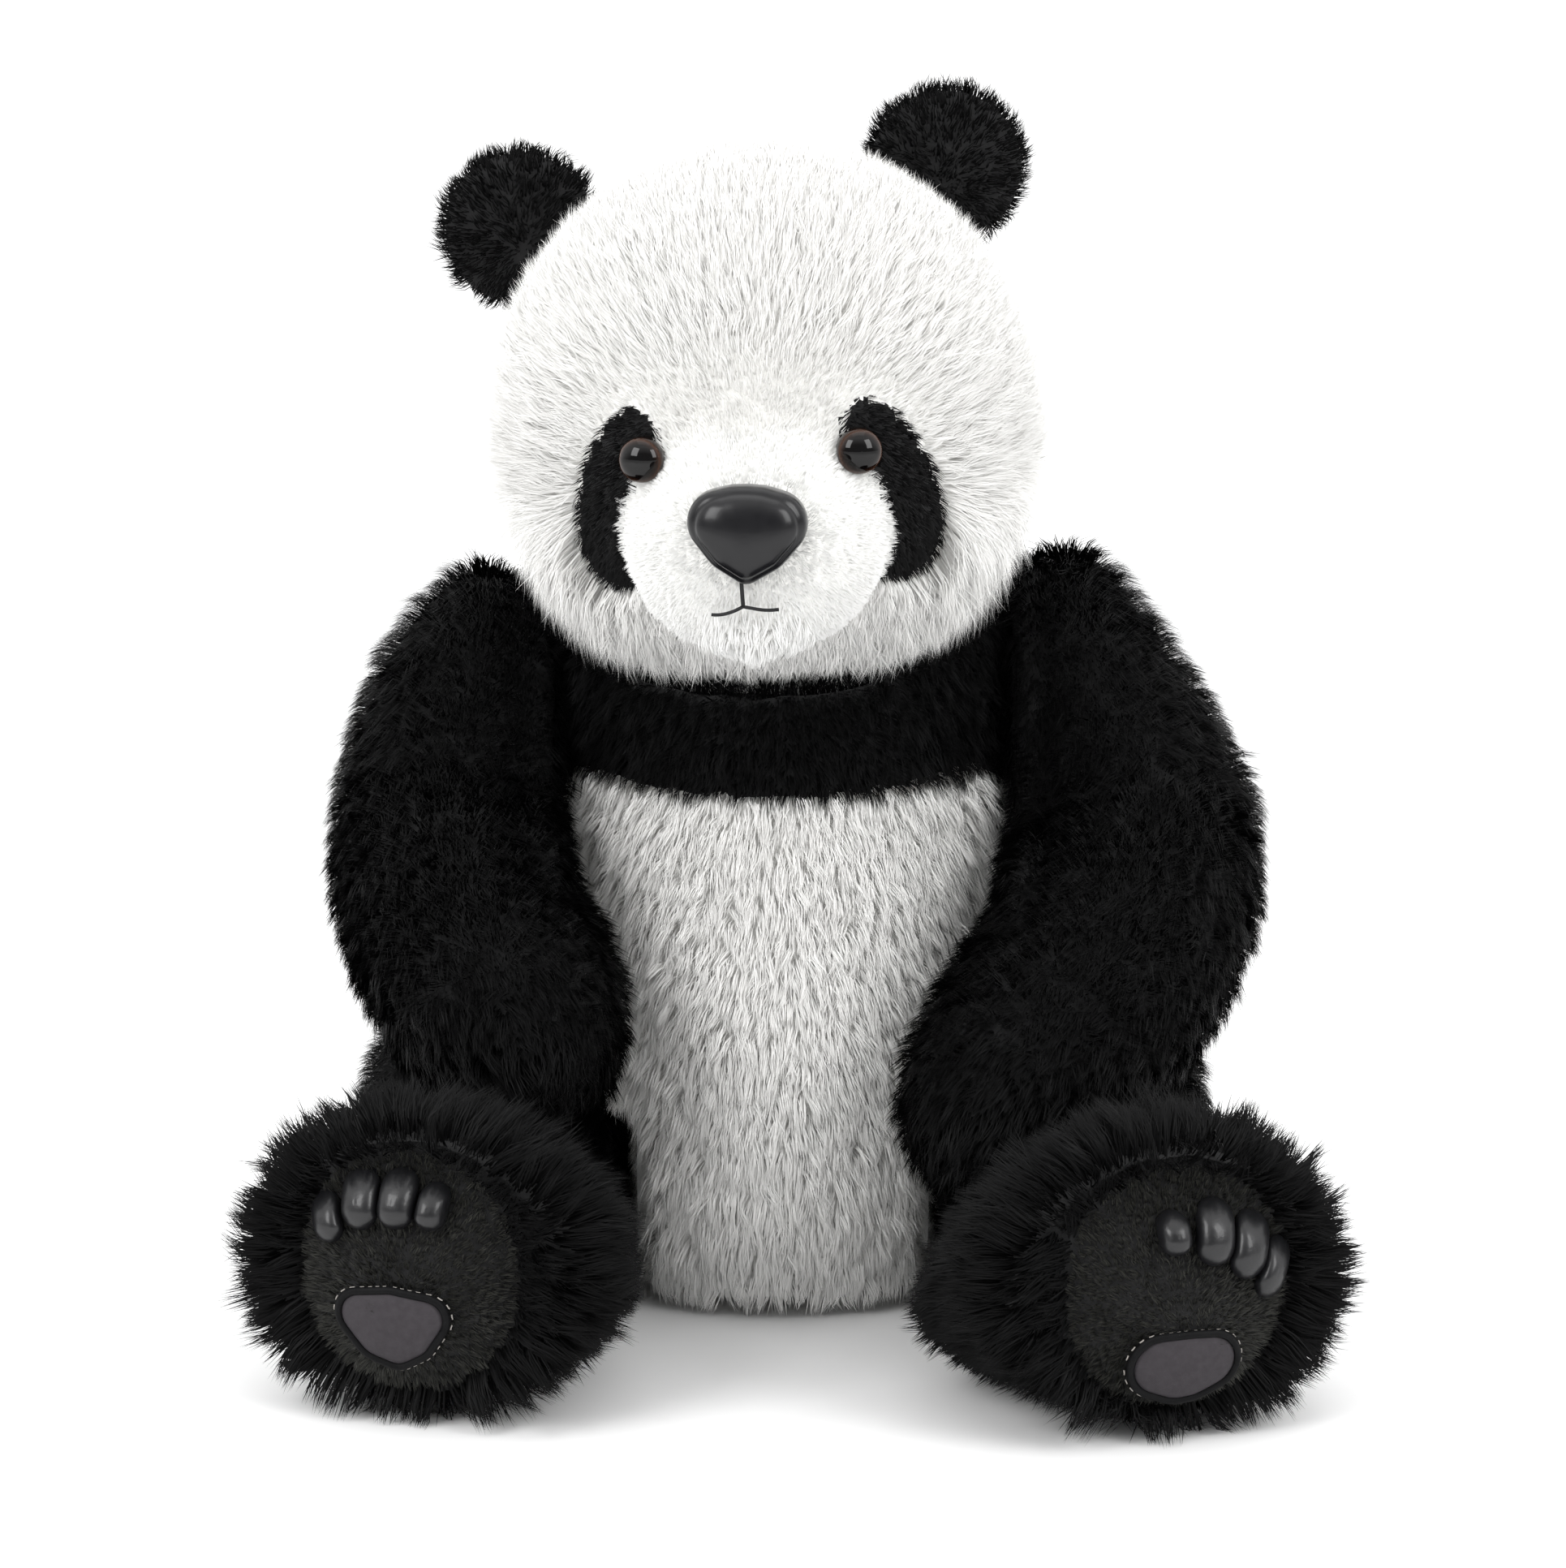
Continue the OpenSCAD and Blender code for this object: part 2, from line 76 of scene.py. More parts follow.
# %% Camera
CAMERA_TILT = 12.0      # degrees, looking down
CAMERA_PLACE = (-2.0, -1424.9, 453.9)
LENS = 116.1

lens = bpy.data.cameras.new("camera")
lens.lens = LENS
lens.sensor_width = 36.0
lens.clip_end = 60.0
camera = bpy.data.objects.new("camera", lens)
camera.location = [c * MM for c in CAMERA_PLACE]
camera.rotation_euler = (math.radians(90 - CAMERA_TILT), 0, 0)
bpy.context.scene.collection.objects.link(camera)
bpy.context.scene.camera = camera
print("camera at", [round(c, 3) for c in camera.location])

# %% Light
world = bpy.data.worlds.new("studio")
bpy.context.scene.world = world
world.use_nodes = True
sky = world.node_tree
direction = sky.nodes.new("ShaderNodeTexCoord")
lean = sky.nodes.new("ShaderNodeVectorMath")
lean.operation = "DOT_PRODUCT"
lean.inputs[1].default_value = (0.0, 0.5, 0.5)
fade = sky.nodes.new("ShaderNodeValToRGB")
for element, (place, level) in zip(fade.color_ramp.elements, ((0.28, 0.2), (0.66, 1.0))):
    element.position, element.color = place, (level, level, level, 1.0)
shift = sky.nodes.new("ShaderNodeMath")
shift.inputs[1].default_value = 0.5
sky.links.new(direction.outputs["Generated"], lean.inputs[0])
sky.links.new(lean.outputs["Value"], shift.inputs[0])
sky.links.new(shift.outputs[0], fade.inputs["Fac"])
sky.links.new(fade.outputs["Color"], sky.nodes["Background"].inputs["Color"])
sky.nodes["Background"].inputs["Strength"].default_value = 1.4
bpy.context.scene.view_settings.view_transform = "Standard"

def softbox(name, place, aim, size, power):
    """A large soft lamp that looks at a point."""
    data = bpy.data.lights.new(name, "AREA")
    data.shape = "RECTANGLE"
    data.size, data.size_y = size
    data.energy = power
    lamp = bpy.data.objects.new(name, data)
    lamp.location = place
    lamp.rotation_euler = (Vector(aim) - Vector(place)).to_track_quat("-Z", "Y").to_euler()
    bpy.context.scene.collection.objects.link(lamp)

softbox("lamp_left", (-0.95, -1.0, 1.05), (0, 0, 0.2), (0.7, 0.9), 13.0)
softbox("lamp_right", (1.0, -0.9, 0.95), (0, 0, 0.2), (0.6, 0.9), 10.0)
softbox("lamp_top", (0.0, 0.1, 1.5), (0, 0, 0.1), (1.0, 1.0), 2.0)

# %% [markdown]
# ## Materials
# Every finish is made from nodes. Pile is the main one: each strand is a narrow blade whose own map says
# how pale it is (across) and how far from its root (up), so one material gives roots darkened by painted
# shade, paler tips and strands that differ a little. A colour or number that is the same all over sits on the
# shader itself.

# %% Node helpers
def new_material(name):
    made = bpy.data.materials.new(name)
    made.use_nodes = True
    return made, made.node_tree, made.node_tree.nodes["Principled BSDF"]

def ramp(tree, factor, stops):
    """A colour ramp through (place, colour) stops."""
    made = tree.nodes.new("ShaderNodeValToRGB")
    while len(made.color_ramp.elements) < len(stops):
        made.color_ramp.elements.new(0.5)
    for element, (place, colour) in zip(made.color_ramp.elements, stops):
        element.position = place
        element.color = (*colour, 1.0)
    tree.links.new(factor, made.inputs["Fac"])
    return made.outputs["Color"]

def noise(tree, scale):
    place = tree.nodes.new("ShaderNodeTexCoord")
    made = tree.nodes.new("ShaderNodeTexNoise")
    made.inputs["Scale"].default_value = scale
    made.inputs["Detail"].default_value = 3.0
    made.inputs["Roughness"].default_value = 0.6
    tree.links.new(place.outputs["Object"], made.inputs["Vector"])
    return made.outputs["Fac"]

def bump(tree, shader, height, strength, distance):
    made = tree.nodes.new("ShaderNodeBump")
    made.inputs["Strength"].default_value = strength
    made.inputs["Distance"].default_value = distance
    tree.links.new(height, made.inputs["Height"])
    tree.links.new(made.outputs["Normal"], shader.inputs["Normal"])

def multiply(tree, a, b):
    made = tree.nodes.new("ShaderNodeMix")
    made.data_type = "RGBA"
    made.blend_type = "MULTIPLY"
    made.inputs["Factor"].default_value = 1.0
    tree.links.new(a, made.inputs["A"])
    tree.links.new(b, made.inputs["B"])
    return made.outputs["Result"]

# %% Pile and cloth
STRAND_MAP = "OFBake"

def own_map(tree):
    """The two numbers that a piece's own map holds at each point, as the outputs X and Y."""
    place = tree.nodes.new("ShaderNodeUVMap")
    place.uv_map = STRAND_MAP
    split = tree.nodes.new("ShaderNodeSeparateXYZ")
    tree.links.new(place.outputs["UV"], split.inputs[0])
    return split.outputs

def pile_material(name, root, tip, shades, gloss, roughness, sheen):
    """root and tip are colours, and a root darker than its tip is painted shade deep in the pile; shades are
    (place, multiplier) stops across the strands.
    """
    made, tree, shader = new_material(name)
    strand = own_map(tree)
    middle = [(a + b) / 2 for a, b in zip(root, tip)]
    # Painted shade along each strand: the root colour is darker than the tip.
    along = ramp(tree, strand["Y"], [(0.0, root), (0.55, middle), (1.0, tip)])
    across = ramp(tree, strand["X"], [(place, (level,) * 3) for place, level in shades])
    tree.links.new(multiply(tree, along, across), shader.inputs["Base Color"])
    shader.inputs["Roughness"].default_value = roughness
    shader.inputs["Specular IOR Level"].default_value = gloss
    shader.inputs["Sheen Weight"].default_value = sheen
    shader.inputs["Sheen Roughness"].default_value = 0.5
    return made

def cloth_material(name, colour, weave=900.0):
    """Knitted backing cloth: fine noise in colour and height."""
    made, tree, shader = new_material(name)
    dark = [c * 0.8 for c in colour]
    tree.links.new(ramp(tree, noise(tree, weave), [(0.3, dark), (0.7, colour)]), shader.inputs["Base Color"])
    shader.inputs["Roughness"].default_value = 0.9
    bump(tree, shader, noise(tree, weave * 1.7), 0.4, 0.0004)
    return made

# Each pile's root colour is darker than its tip: painted shade deep in the pile.
WHITE_PILE = pile_material("white_pile", (0.86, 0.855, 0.835), (0.875, 0.87, 0.855),
                           [(0.0, 0.96), (0.5, 0.99), (1.0, 1.0)], 0.12, 0.75, 0.1)
MUZZLE_PILE = pile_material("muzzle_pile", (0.84, 0.84, 0.825), (0.86, 0.86, 0.85),
                            [(0.0, 0.97), (1.0, 1.0)], 0.12, 0.75, 0.1)
BLACK_PILE = pile_material("black_pile", (0.002, 0.002, 0.0022), (0.006, 0.006, 0.0062),
                           [(0.0, 0.5), (0.85, 1.0), (0.97, 1.6), (1.0, 4.0)], 0.09, 0.5, 0.0)
# Black-grey sole pile, paler than the black pile and most of all at the tips: painted sheen of the front lamps
# on the short pile.
SOLE_PILE_PAINTED_SHEEN = pile_material("sole_pile_painted_sheen", (0.008, 0.008, 0.007), (0.036, 0.036, 0.031),
                          [(0.0, 0.45), (0.7, 1.0), (1.0, 2.2)], 0.2, 0.5, 0.0)
WHITE_CLOTH = cloth_material("white_cloth", (0.9, 0.895, 0.87))
BLACK_CLOTH = cloth_material("black_cloth", (0.006, 0.006, 0.0065))
print("pile:", ", ".join(m.name for m in (WHITE_PILE, MUZZLE_PILE, BLACK_PILE, SOLE_PILE_PAINTED_SHEEN)))

# %% [markdown]
# ## Backing cloth
# A plush panel is knitted cloth that carries the pile. Sewn to its neighbours and stuffed hard, it bulges
# between the seams and is held down along them. The way to get that is a cloth simulation: copy the
# solids of a limb, remesh them to one closed skin, sink it below the pile's outer face, hold the vertices
# that lie on a seam, and blow the rest up with a little pressure. A cap on how far a vertex may move
# keeps it in its space.

# %% Reading meshes
def link(ob):
    bpy.context.scene.collection.objects.link(ob)
    return ob

def corners(mesh):
    co = np.empty(len(mesh.vertices) * 3, np.float32)
    mesh.vertices.foreach_get("co", co)
    return co.reshape(-1, 3).astype(float)

def outward(mesh):
    n = np.empty(len(mesh.vertices) * 3, np.float32)
    mesh.vertex_normals.foreach_get("vector", n)
    return n.reshape(-1, 3).astype(float)

def triangles(mesh):
    mesh.calc_loop_triangles()
    t = np.empty(len(mesh.loop_triangles) * 3, np.int32)
    mesh.loop_triangles.foreach_get("vertices", t)
    return t.reshape(-1, 3)

def edge_ends(mesh):
    """The vertex at each end of every edge, as two arrays."""
    ends = np.empty(len(mesh.edges) * 2, np.int32)
    mesh.edges.foreach_get("vertices", ends)
    return ends.reshape(-1, 2).T

def set_corners(mesh, co):
    mesh.vertices.foreach_set("co", co.astype(np.float32).ravel())
    mesh.update()

def unit(v):
    return v / np.maximum(np.linalg.norm(v, axis=-1, keepdims=True), 1e-9)

trees = {}

def tree_of(name):
    if name not in trees:
        mesh = node[name].data
        trees[name] = BVHTree.FromPolygons([Vector(c) for c in corners(mesh)], triangles(mesh).tolist())
    return trees[name]

def nearest_panel(points, names):
    """For each point, the place in names of the CAD panel that it is closest to."""
    if len(names) == 1:
        return np.zeros(len(points), int)
    found = np.empty((len(names), len(points)))
    for k, name in enumerate(names):
        look = tree_of(name).find_nearest
        found[k] = [look(p)[3] for p in points]
    return found.argmin(axis=0)

def modified(ob, make):
    """Applies one modifier, set up by make, to an object."""
    make(ob)
    mesh = bpy.data.meshes.new_from_object(ob.evaluated_get(bpy.context.evaluated_depsgraph_get()))
    ob.modifiers.clear()
    old, ob.data = ob.data, mesh
    bpy.data.meshes.remove(old)

# %% Skins
def gathered(name, names):
    """One object with copies of these CAD nodes' meshes."""
    points, faces, start = [], [], 0
    for n in names:
        co, tri = corners(node[n].data), triangles(node[n].data)
        points.append(co)
        faces.append(tri + start)
        start += len(co)
    mesh = bpy.data.meshes.new(name)
    mesh.from_pydata(np.concatenate(points).tolist(), [], np.concatenate(faces).tolist())
    return link(bpy.data.objects.new(name, mesh))

def keep_outside(ob):
    """Keeps only the largest closed surface of a mesh."""
    mesh = ob.data
    group = np.arange(len(mesh.vertices))
    a, b = edge_ends(mesh)
    while True:
        low = np.minimum(group[a], group[b])
        before = group.copy()
        np.minimum.at(group, a, low)
        np.minimum.at(group, b, low)
        group = group[group]
        if (group == before).all():
            break
    names, sizes = np.unique(group, return_counts=True)
    keep = group == names[sizes.argmax()]
    if keep.all():
        return
    number = np.cumsum(keep) - 1
    faces = [[int(number[v]) for v in p.vertices] for p in mesh.polygons if keep[p.vertices[0]]]
    made = bpy.data.meshes.new(mesh.name)
    made.from_pydata(corners(mesh)[keep].tolist(), [], faces)
    ob.data = made
    bpy.data.meshes.remove(mesh)

def voxel_remesh(size):
    def make(ob):
        m = ob.modifiers.new("remesh", "REMESH")
        m.mode, m.voxel_size = "VOXEL", size * MM
    return make

def smoothing(times):
    def make(ob):
        m = ob.modifiers.new("smooth", "SMOOTH")
        m.iterations, m.factor = times, 0.5
    return make

def finer(ob):
    ob.modifiers.new("finer", "SUBSURF").levels = 1

def neighbour_mean(mesh, values, times):
    """Blurs one number per vertex over the mesh."""
    a, b = edge_ends(mesh)
    count = np.bincount(a, minlength=len(values)) + np.bincount(b, minlength=len(values))
    for _ in range(times):
        total = np.bincount(a, values[b], len(values)) + np.bincount(b, values[a], len(values))
        values = (values + total / np.maximum(count, 1)) / 2
    return values

def seam_vertices(mesh, panel):
    """True where a vertex has a neighbour on another panel."""
    a, b = edge_ends(mesh)
    found = np.zeros(len(panel), bool)
    crossing = panel[a] != panel[b]
    found[a[crossing]] = True
    found[b[crossing]] = True
    return found

# %% Stuffing
PRESSURE = 4.0
STEPS = 20
PULL_OF_FILLING = 0.02      # how firmly the free cloth is pinned to where it starts

def stuff(ob, held, bulge):
    """Cloth under pressure: held vertices stay, the others move out by at most bulge millimetres."""
    pins = ob.vertex_groups.new(name="seams")
    pins.add([int(v) for v in np.flatnonzero(held)], 1.0, "REPLACE")
    pins.add([int(v) for v in np.flatnonzero(~held)], PULL_OF_FILLING, "REPLACE")
    m = ob.modifiers.new("cloth", "CLOTH")
    m.settings.vertex_group_mass = "seams"
    m.settings.use_pressure = True
    m.settings.uniform_pressure_force = PRESSURE
    m.settings.tension_stiffness = 12.0
    m.settings.bending_stiffness = 0.6
    m.settings.effector_weights.gravity = 0.0
    m.collision_settings.use_collision = False
    m.point_cache.frame_start, m.point_cache.frame_end = 1, STEPS
    before = corners(ob.data)
    for step in range(1, STEPS + 1):
        bpy.context.scene.frame_set(step)
    got = ob.evaluated_get(bpy.context.evaluated_depsgraph_get())
    move = corners(got.data) - before
    ob.modifiers.clear()
    far = np.linalg.norm(move, axis=1, keepdims=True)
    move *= np.minimum(1.0, bulge * MM / np.maximum(far, 1e-9))
    set_corners(ob.data, before + move)
    bpy.context.scene.frame_set(1)
    print(f"  stuffed {ob.name}: moved up to {far.max() / MM:.1f} mm, kept to {bulge} mm")

# %% Skins cut into panels
CLOTH_CLEAR = 0.3 * MM      # how far above the floor the cloth stays
panel_of_vertex = {}

def skin(name, panels, fillers, voxel, sunk, bulge, flat=None):
    """One closed skin over some CAD panels. sunk gives, for each panel, how far below its face the cloth
    ends. flat picks the places where a limb is sewn flat to the body: there the cloth stays at the face."""
    ob = gathered(name, list(panels) + list(fillers))
    modified(ob, voxel_remesh(voxel))
    keep_outside(ob)
    modified(ob, smoothing(3))
    mesh = ob.data
    panel = nearest_panel(corners(mesh), panels)
    depth = np.array([sunk[p] for p in panels])[panel] + bulge * 0.8
    if flat is not None:
        depth[flat(corners(mesh), outward(mesh))] = 0.2
    depth = neighbour_mean(mesh, depth, 3) * MM
    set_corners(mesh, corners(mesh) - outward(mesh) * depth[:, None])
    modified(ob, smoothing(4))
    held = seam_vertices(ob.data, panel)
    if flat is not None:
        held |= flat(corners(ob.data), outward(ob.data))
    stuff(ob, held, bulge)
    modified(ob, finer)
    panel_of_vertex[ob.name] = nearest_panel(corners(ob.data), panels)
    print(name, "has", len(ob.data.vertices), "vertices")
    return ob

def cut_cloth(ob, panels, materials, body):
    """Cuts a skin into one backing cloth for each CAD panel, and puts each in its panel's place."""
    mesh = ob.data
    co = corners(mesh)
    co[:, 2] = np.maximum(co[:, 2], CLOTH_CLEAR)
    polygons = [list(p.vertices) for p in mesh.polygons]
    owner = panel_of_vertex[ob.name][[p[0] for p in polygons]]
    for k, panel in enumerate(panels):
        mine = [polygons[i] for i in np.flatnonzero(owner == k)]
        used = np.unique([v for p in mine for v in p])
        number = {int(v): i for i, v in enumerate(used)}
        made = bpy.data.meshes.new(panel + "_cloth")
        made.from_pydata(co[used].tolist(), [], [[number[v] for v in p] for p in mine])
        made.polygons.foreach_set("use_smooth", [True] * len(mine))
        made.materials.append(materials[k])
        piece = link(bpy.data.objects.new(panel + "_cloth", made))
        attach(piece, body)
        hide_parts(panel)

# %% [markdown]
# ## Pile
# Real pile is millions of fibres that stand in tufts. Blender's hair is the usual way, but hair is only
# drawn at render time, so here each strand is a real blade of mesh: a narrow strip that ends in one
# point. Roots are spread evenly over the cloth, each strand leaves along a mix of the cloth's outward
# direction and a combing direction, and the tips in a tuft lean towards its middle strand. All of it is
# done on whole arrays of numbers at once, because a loop over every strand would be far slower.

# %% Roots
def scattered(ob, count, rng):
    """count points spread evenly by area over a mesh, with the outward direction and the panel at each."""
    mesh = ob.data
    co, n, tri = corners(mesh), outward(mesh), triangles(mesh)
    a, b, c = co[tri[:, 0]], co[tri[:, 1]], co[tri[:, 2]]
    area = np.linalg.norm(np.cross(b - a, c - a), axis=1)
    pick = rng.choice(len(tri), count, p=area / area.sum())
    u, v = rng.random(count), rng.random(count)
    over = u + v > 1
    u[over], v[over] = 1 - u[over], 1 - v[over]
    w = np.stack([1 - u - v, u, v], axis=1)
    panel = panel_of_vertex[ob.name][tri[pick, w.argmax(axis=1)]]
    w = w[:, :, None]
    return (co[tri[pick]] * w).sum(axis=1), unit((n[tri[pick]] * w).sum(axis=1)), panel, area.sum() / 2

def tufts(roots, per_tuft, rng):
    """For each root, the place in the list of its tuft's middle strand."""
    middles = rng.choice(len(roots), max(1, len(roots) // per_tuft), replace=False)
    tree = KDTree(len(middles))
    for k, m in enumerate(middles):
        tree.insert(roots[m], k)
    tree.balance()
    return np.array([middles[tree.find(p)[1]] for p in roots])

# %% Strands
STRAND_CLEAR, BLADE_CLEAR = 0.4 * MM, 0.1 * MM      # strand middles and blade edges above the floor

def strand_piece(name, points, normals, width, shade, material):
    """Blades along points, an array of strands x points x 3; each blade faces the way of its own normal."""
    n, levels = points.shape[:2]
    along = unit(points[:, 1:] - points[:, :-1])
    along = np.concatenate([along, along[:, -1:]], axis=1)
    side = unit(np.cross(along, normals[:, None, :])) * (width * MM / 2)[:, None, None]
    taper = np.linspace(1.0, 0.55, levels)[None, :, None]
    low, high = points - side * taper, points + side * taper
    verts = np.concatenate([np.stack([low, high], axis=2)[:, :-1].reshape(n, -1, 3), points[:, -1:]], axis=1)
    verts[:, :, 2] = np.maximum(verts[:, :, 2], BLADE_CLEAR)
    per = verts.shape[1]
    pattern, starts = [], []
    for k in range(levels - 2):
        starts.append(len(pattern))
        pattern += [2 * k, 2 * k + 1, 2 * k + 3, 2 * k + 2]
    starts.append(len(pattern))
    pattern += [per - 3, per - 2, per - 1]
    height = np.append(np.repeat(np.linspace(0, 1, levels)[:-1], 2), 1.0)
    loops = (np.arange(n)[:, None] * per + np.array(pattern)).ravel()
    mesh = bpy.data.meshes.new(name)
    mesh.vertices.add(n * per)
    mesh.vertices.foreach_set("co", verts.astype(np.float32).ravel())
    mesh.loops.add(len(loops))
    mesh.loops.foreach_set("vertex_index", loops.astype(np.int32))
    mesh.polygons.add(n * len(starts))
    first = (np.arange(n)[:, None] * len(pattern) + np.array(starts)).ravel()
    mesh.polygons.foreach_set("loop_start", first.astype(np.int32))
    mesh.polygons.foreach_set("use_smooth", np.ones(n * len(starts), bool))
    uv = mesh.uv_layers.new(name=STRAND_MAP)
    across = np.repeat(shade, len(pattern))
    up = np.tile(height[pattern], n)
    uv.data.foreach_set("uv", np.stack([across, up], axis=1).astype(np.float32).ravel())
    mesh.update(calc_edges=True)
    mesh.materials.append(material)
    return link(bpy.data.objects.new(name, mesh))

def grow(name, ob, panels, panel, per_mm2, comb, length, width, lift, tuft, lean, material, body,
         seed, levels=3, where=None, behind=0.6, wave=6.0):
    """Pile for one panel. comb and length take roots and outward directions; lift is (root, tip) degrees away
    from straight out. behind is the share of the strands that is kept at the toy's back."""
    rng = np.random.default_rng(seed)
    area = scattered(ob, 1, rng)[3]
    count = int(area / MM ** 2 * per_mm2 * (1.0))
    roots, out, owner, _ = scattered(ob, count, rng)
    mine = owner == panels.index(panel)
    mine &= rng.random(count) < np.interp(roots[:, 1], [30 * MM, 60 * MM], [1.0, behind])
    if where is not None:
        mine &= where(roots, out)
    roots, out = roots[mine], out[mine]
    n = len(roots)
    way = comb(roots, out) + rng.normal(0, 0.16, (n, 3))
    way = unit(way - out * (way * out).sum(axis=1, keepdims=True))
    long = length(roots, out) * rng.uniform(0.72, 1.1, n)
    middle = tufts(roots, tuft, rng)
    tuft_turn, tuft_long = rng.normal(0, 0.2, (n, 3))[middle], rng.uniform(0.85, 1.15, n)[middle]
    way = unit(way + tuft_turn - out * (tuft_turn * out).sum(axis=1, keepdims=True))
    long = long * tuft_long
    swing = rng.normal(0, wave, n) + rng.normal(0, wave, n)[middle]
    step = (long * MM / (levels - 1))[:, None]
    points = [roots - out * (0.6 * MM)]
    for k in range(levels - 1):
        bend = lift[0] + (lift[1] - lift[0]) * k / max(1, levels - 2) + swing
        angle = np.radians(np.clip(bend, 3, 88))[:, None]
        going = out * np.cos(angle) + way * np.sin(angle)
        points.append(points[-1] + unit(going) * step)
    points = np.stack(points, axis=1)
    shape = points - points[:, :1]
    target = points[middle][:, :1] + shape[middle]
    leaning = (lean * rng.uniform(0.5, 1.0, n))[:, None, None]
    pull = (np.linspace(0, 1, levels) ** 1.5)[None, :, None] * leaning
    points = points + (target - points) * pull
    points[:, :, 2] = np.maximum(points[:, :, 2], STRAND_CLEAR)
    shade = np.clip(rng.random(n) * 0.75 + rng.random(n)[middle] * 0.25, 0, 1)
    piece = strand_piece(name, points, out, width * rng.uniform(0.75, 1.2, n), shade, material)
    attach(piece, body)
    print(f"{name}: {n} strands")

# %% [markdown]
# ## Combing
# Which way the pile lies gives a plush its character. Each helper here returns a direction for every
# root: away from a point, along a line, or a fixed way. Mixing them combs a whole panel.

# %% Combing helpers
def away_from(point):
    centre = np.array(point) * MM
    return lambda p, n: unit(p - centre)

def steady(direction):
    way = np.array(direction, float)
    return lambda p, n: np.broadcast_to(unit(way), p.shape)

def mixed(*pairs):
    return lambda p, n: sum(weight * comb(p, n) for weight, comb in pairs)

def even(millimetres):
    return lambda p, n: np.full(len(p), float(millimetres))

def along_line(*stops):
    """Follows the nearest stretch of a line of points, given in millimetres."""
    line = np.array(stops, float) * MM
    def comb(p, n):
        best, way = np.full(len(p), 1e9), np.zeros_like(p)
        for a, b in zip(line[:-1], line[1:]):
            t = np.clip(((p - a) @ (b - a)) / ((b - a) @ (b - a)), 0, 1)
            far = np.linalg.norm(p - (a + t[:, None] * (b - a)), axis=1)
            closer = far < best
            best[closer], way[closer] = far[closer], unit(b - a)
        return way
    return comb

# %% [markdown]
# ## Where things are
# The toy is measured from a point on the floor under the middle of its torso. The face is turned and
# tipped a little, and each foot has its own plane, so points on them are easier to give in their own
# directions.

# %% Places
def spot(x, y, z):
    """A point measured from under the torso's middle, given in the frame's axes, in millimetres."""
    return np.array([x - 2.0, y + 42.3, z])

HEAD = spot(-5, -20, 256)
HEAD_R = 79.0
FACE_TURN, FACE_TIP = math.radians(-3.2), math.radians(-2.8)
SOLE_TURN, SOLE_LEAN = 13.0, 6.0

def turned(axis, angle):
    c, s = math.cos(angle), math.sin(angle)
    return np.array({"x": [[1, 0, 0], [0, c, -s], [0, s, c]], "y": [[c, 0, s], [0, 1, 0], [-s, 0, c]],
                     "z": [[c, -s, 0], [s, c, 0], [0, 0, 1]]}[axis])

FACE = turned("y", FACE_TIP) @ turned("z", FACE_TURN)

def on_face(*point):
    """A point of the face, measured from the middle of the head, in millimetres."""
    return HEAD + FACE @ np.array(point, float)

def on_sole(hand, *point):
    """A point of a sole: across, up, out."""
    side = HANDS[hand]
    middle = spot(side * (101 if side < 0 else 105), -167 if side < 0 else -181, 44)
    lean = turned("z", math.radians(side * SOLE_TURN)) @ turned("x", math.radians(90 - SOLE_LEAN))
    return middle + lean @ np.array(point, float)

def near(point, reach):
    """Picks roots closer than reach to a point."""
    centre = np.array(point) * MM
    return lambda p, n: np.linalg.norm(p - centre, axis=1) < reach * MM

def bare(picker):
    return lambda p, n: ~picker(p, n)

print("nose at", [round(float(c)) for c in on_face(0, -104, -18)])

# %% [markdown]
# ## The head
# Three white panels make the ball of the head: a gusset from the brow over the crown to the nape, and a
# side panel each way. The muzzle is its own small stuffed dome and the chin a pinch of cloth below it.
# The black patches round the eyes are set into the face, of a shorter pile. All of them share one
# stuffing, so one skin is made for the head and cut along the seams.

# %% Head cloth
WHITE_SUNK, SHORT_SUNK = 4.6, 2.0
head_panels = ["head_gusset", "head_side_right", "head_side_left", "eye_patch_right", "eye_patch_left",
               "muzzle_cover", "chin"]
head_skin = skin("head_skin", head_panels, ["head_filling", "muzzle_filling", "eye_cup_right", "eye_cup_left"],
                 3.6, {"head_gusset": WHITE_SUNK, "head_side_right": WHITE_SUNK, "head_side_left": WHITE_SUNK,
                       "eye_patch_right": 2.6, "eye_patch_left": 2.6, "muzzle_cover": SHORT_SUNK,
                       "chin": 2.6}, 1.5)
cut_cloth(head_skin, head_panels, [WHITE_CLOTH] * 3 + [BLACK_CLOTH] * 2 + [WHITE_CLOTH] * 2, "head")

# %% Head pile
NECK = HEAD + np.array([0, 0, -76])

def head_comb(p, n):
    """Away from the muzzle all round; below the cheeks it hangs straighter down."""
    d = (p / MM - HEAD) @ FACE
    x, y, z = d[:, 0], d[:, 1], d[:, 2]
    way = unit(np.stack([x, 0.35 * (y + 70), z + 20], axis=1))
    hang = unit(np.stack([x * 0.45, 0 * x - 6, -55 + 0 * x], axis=1))
    low = np.clip((-8 - z) / 30, 0, 1)[:, None]
    return unit((way * (1 - low) + hang * low) @ FACE.T)

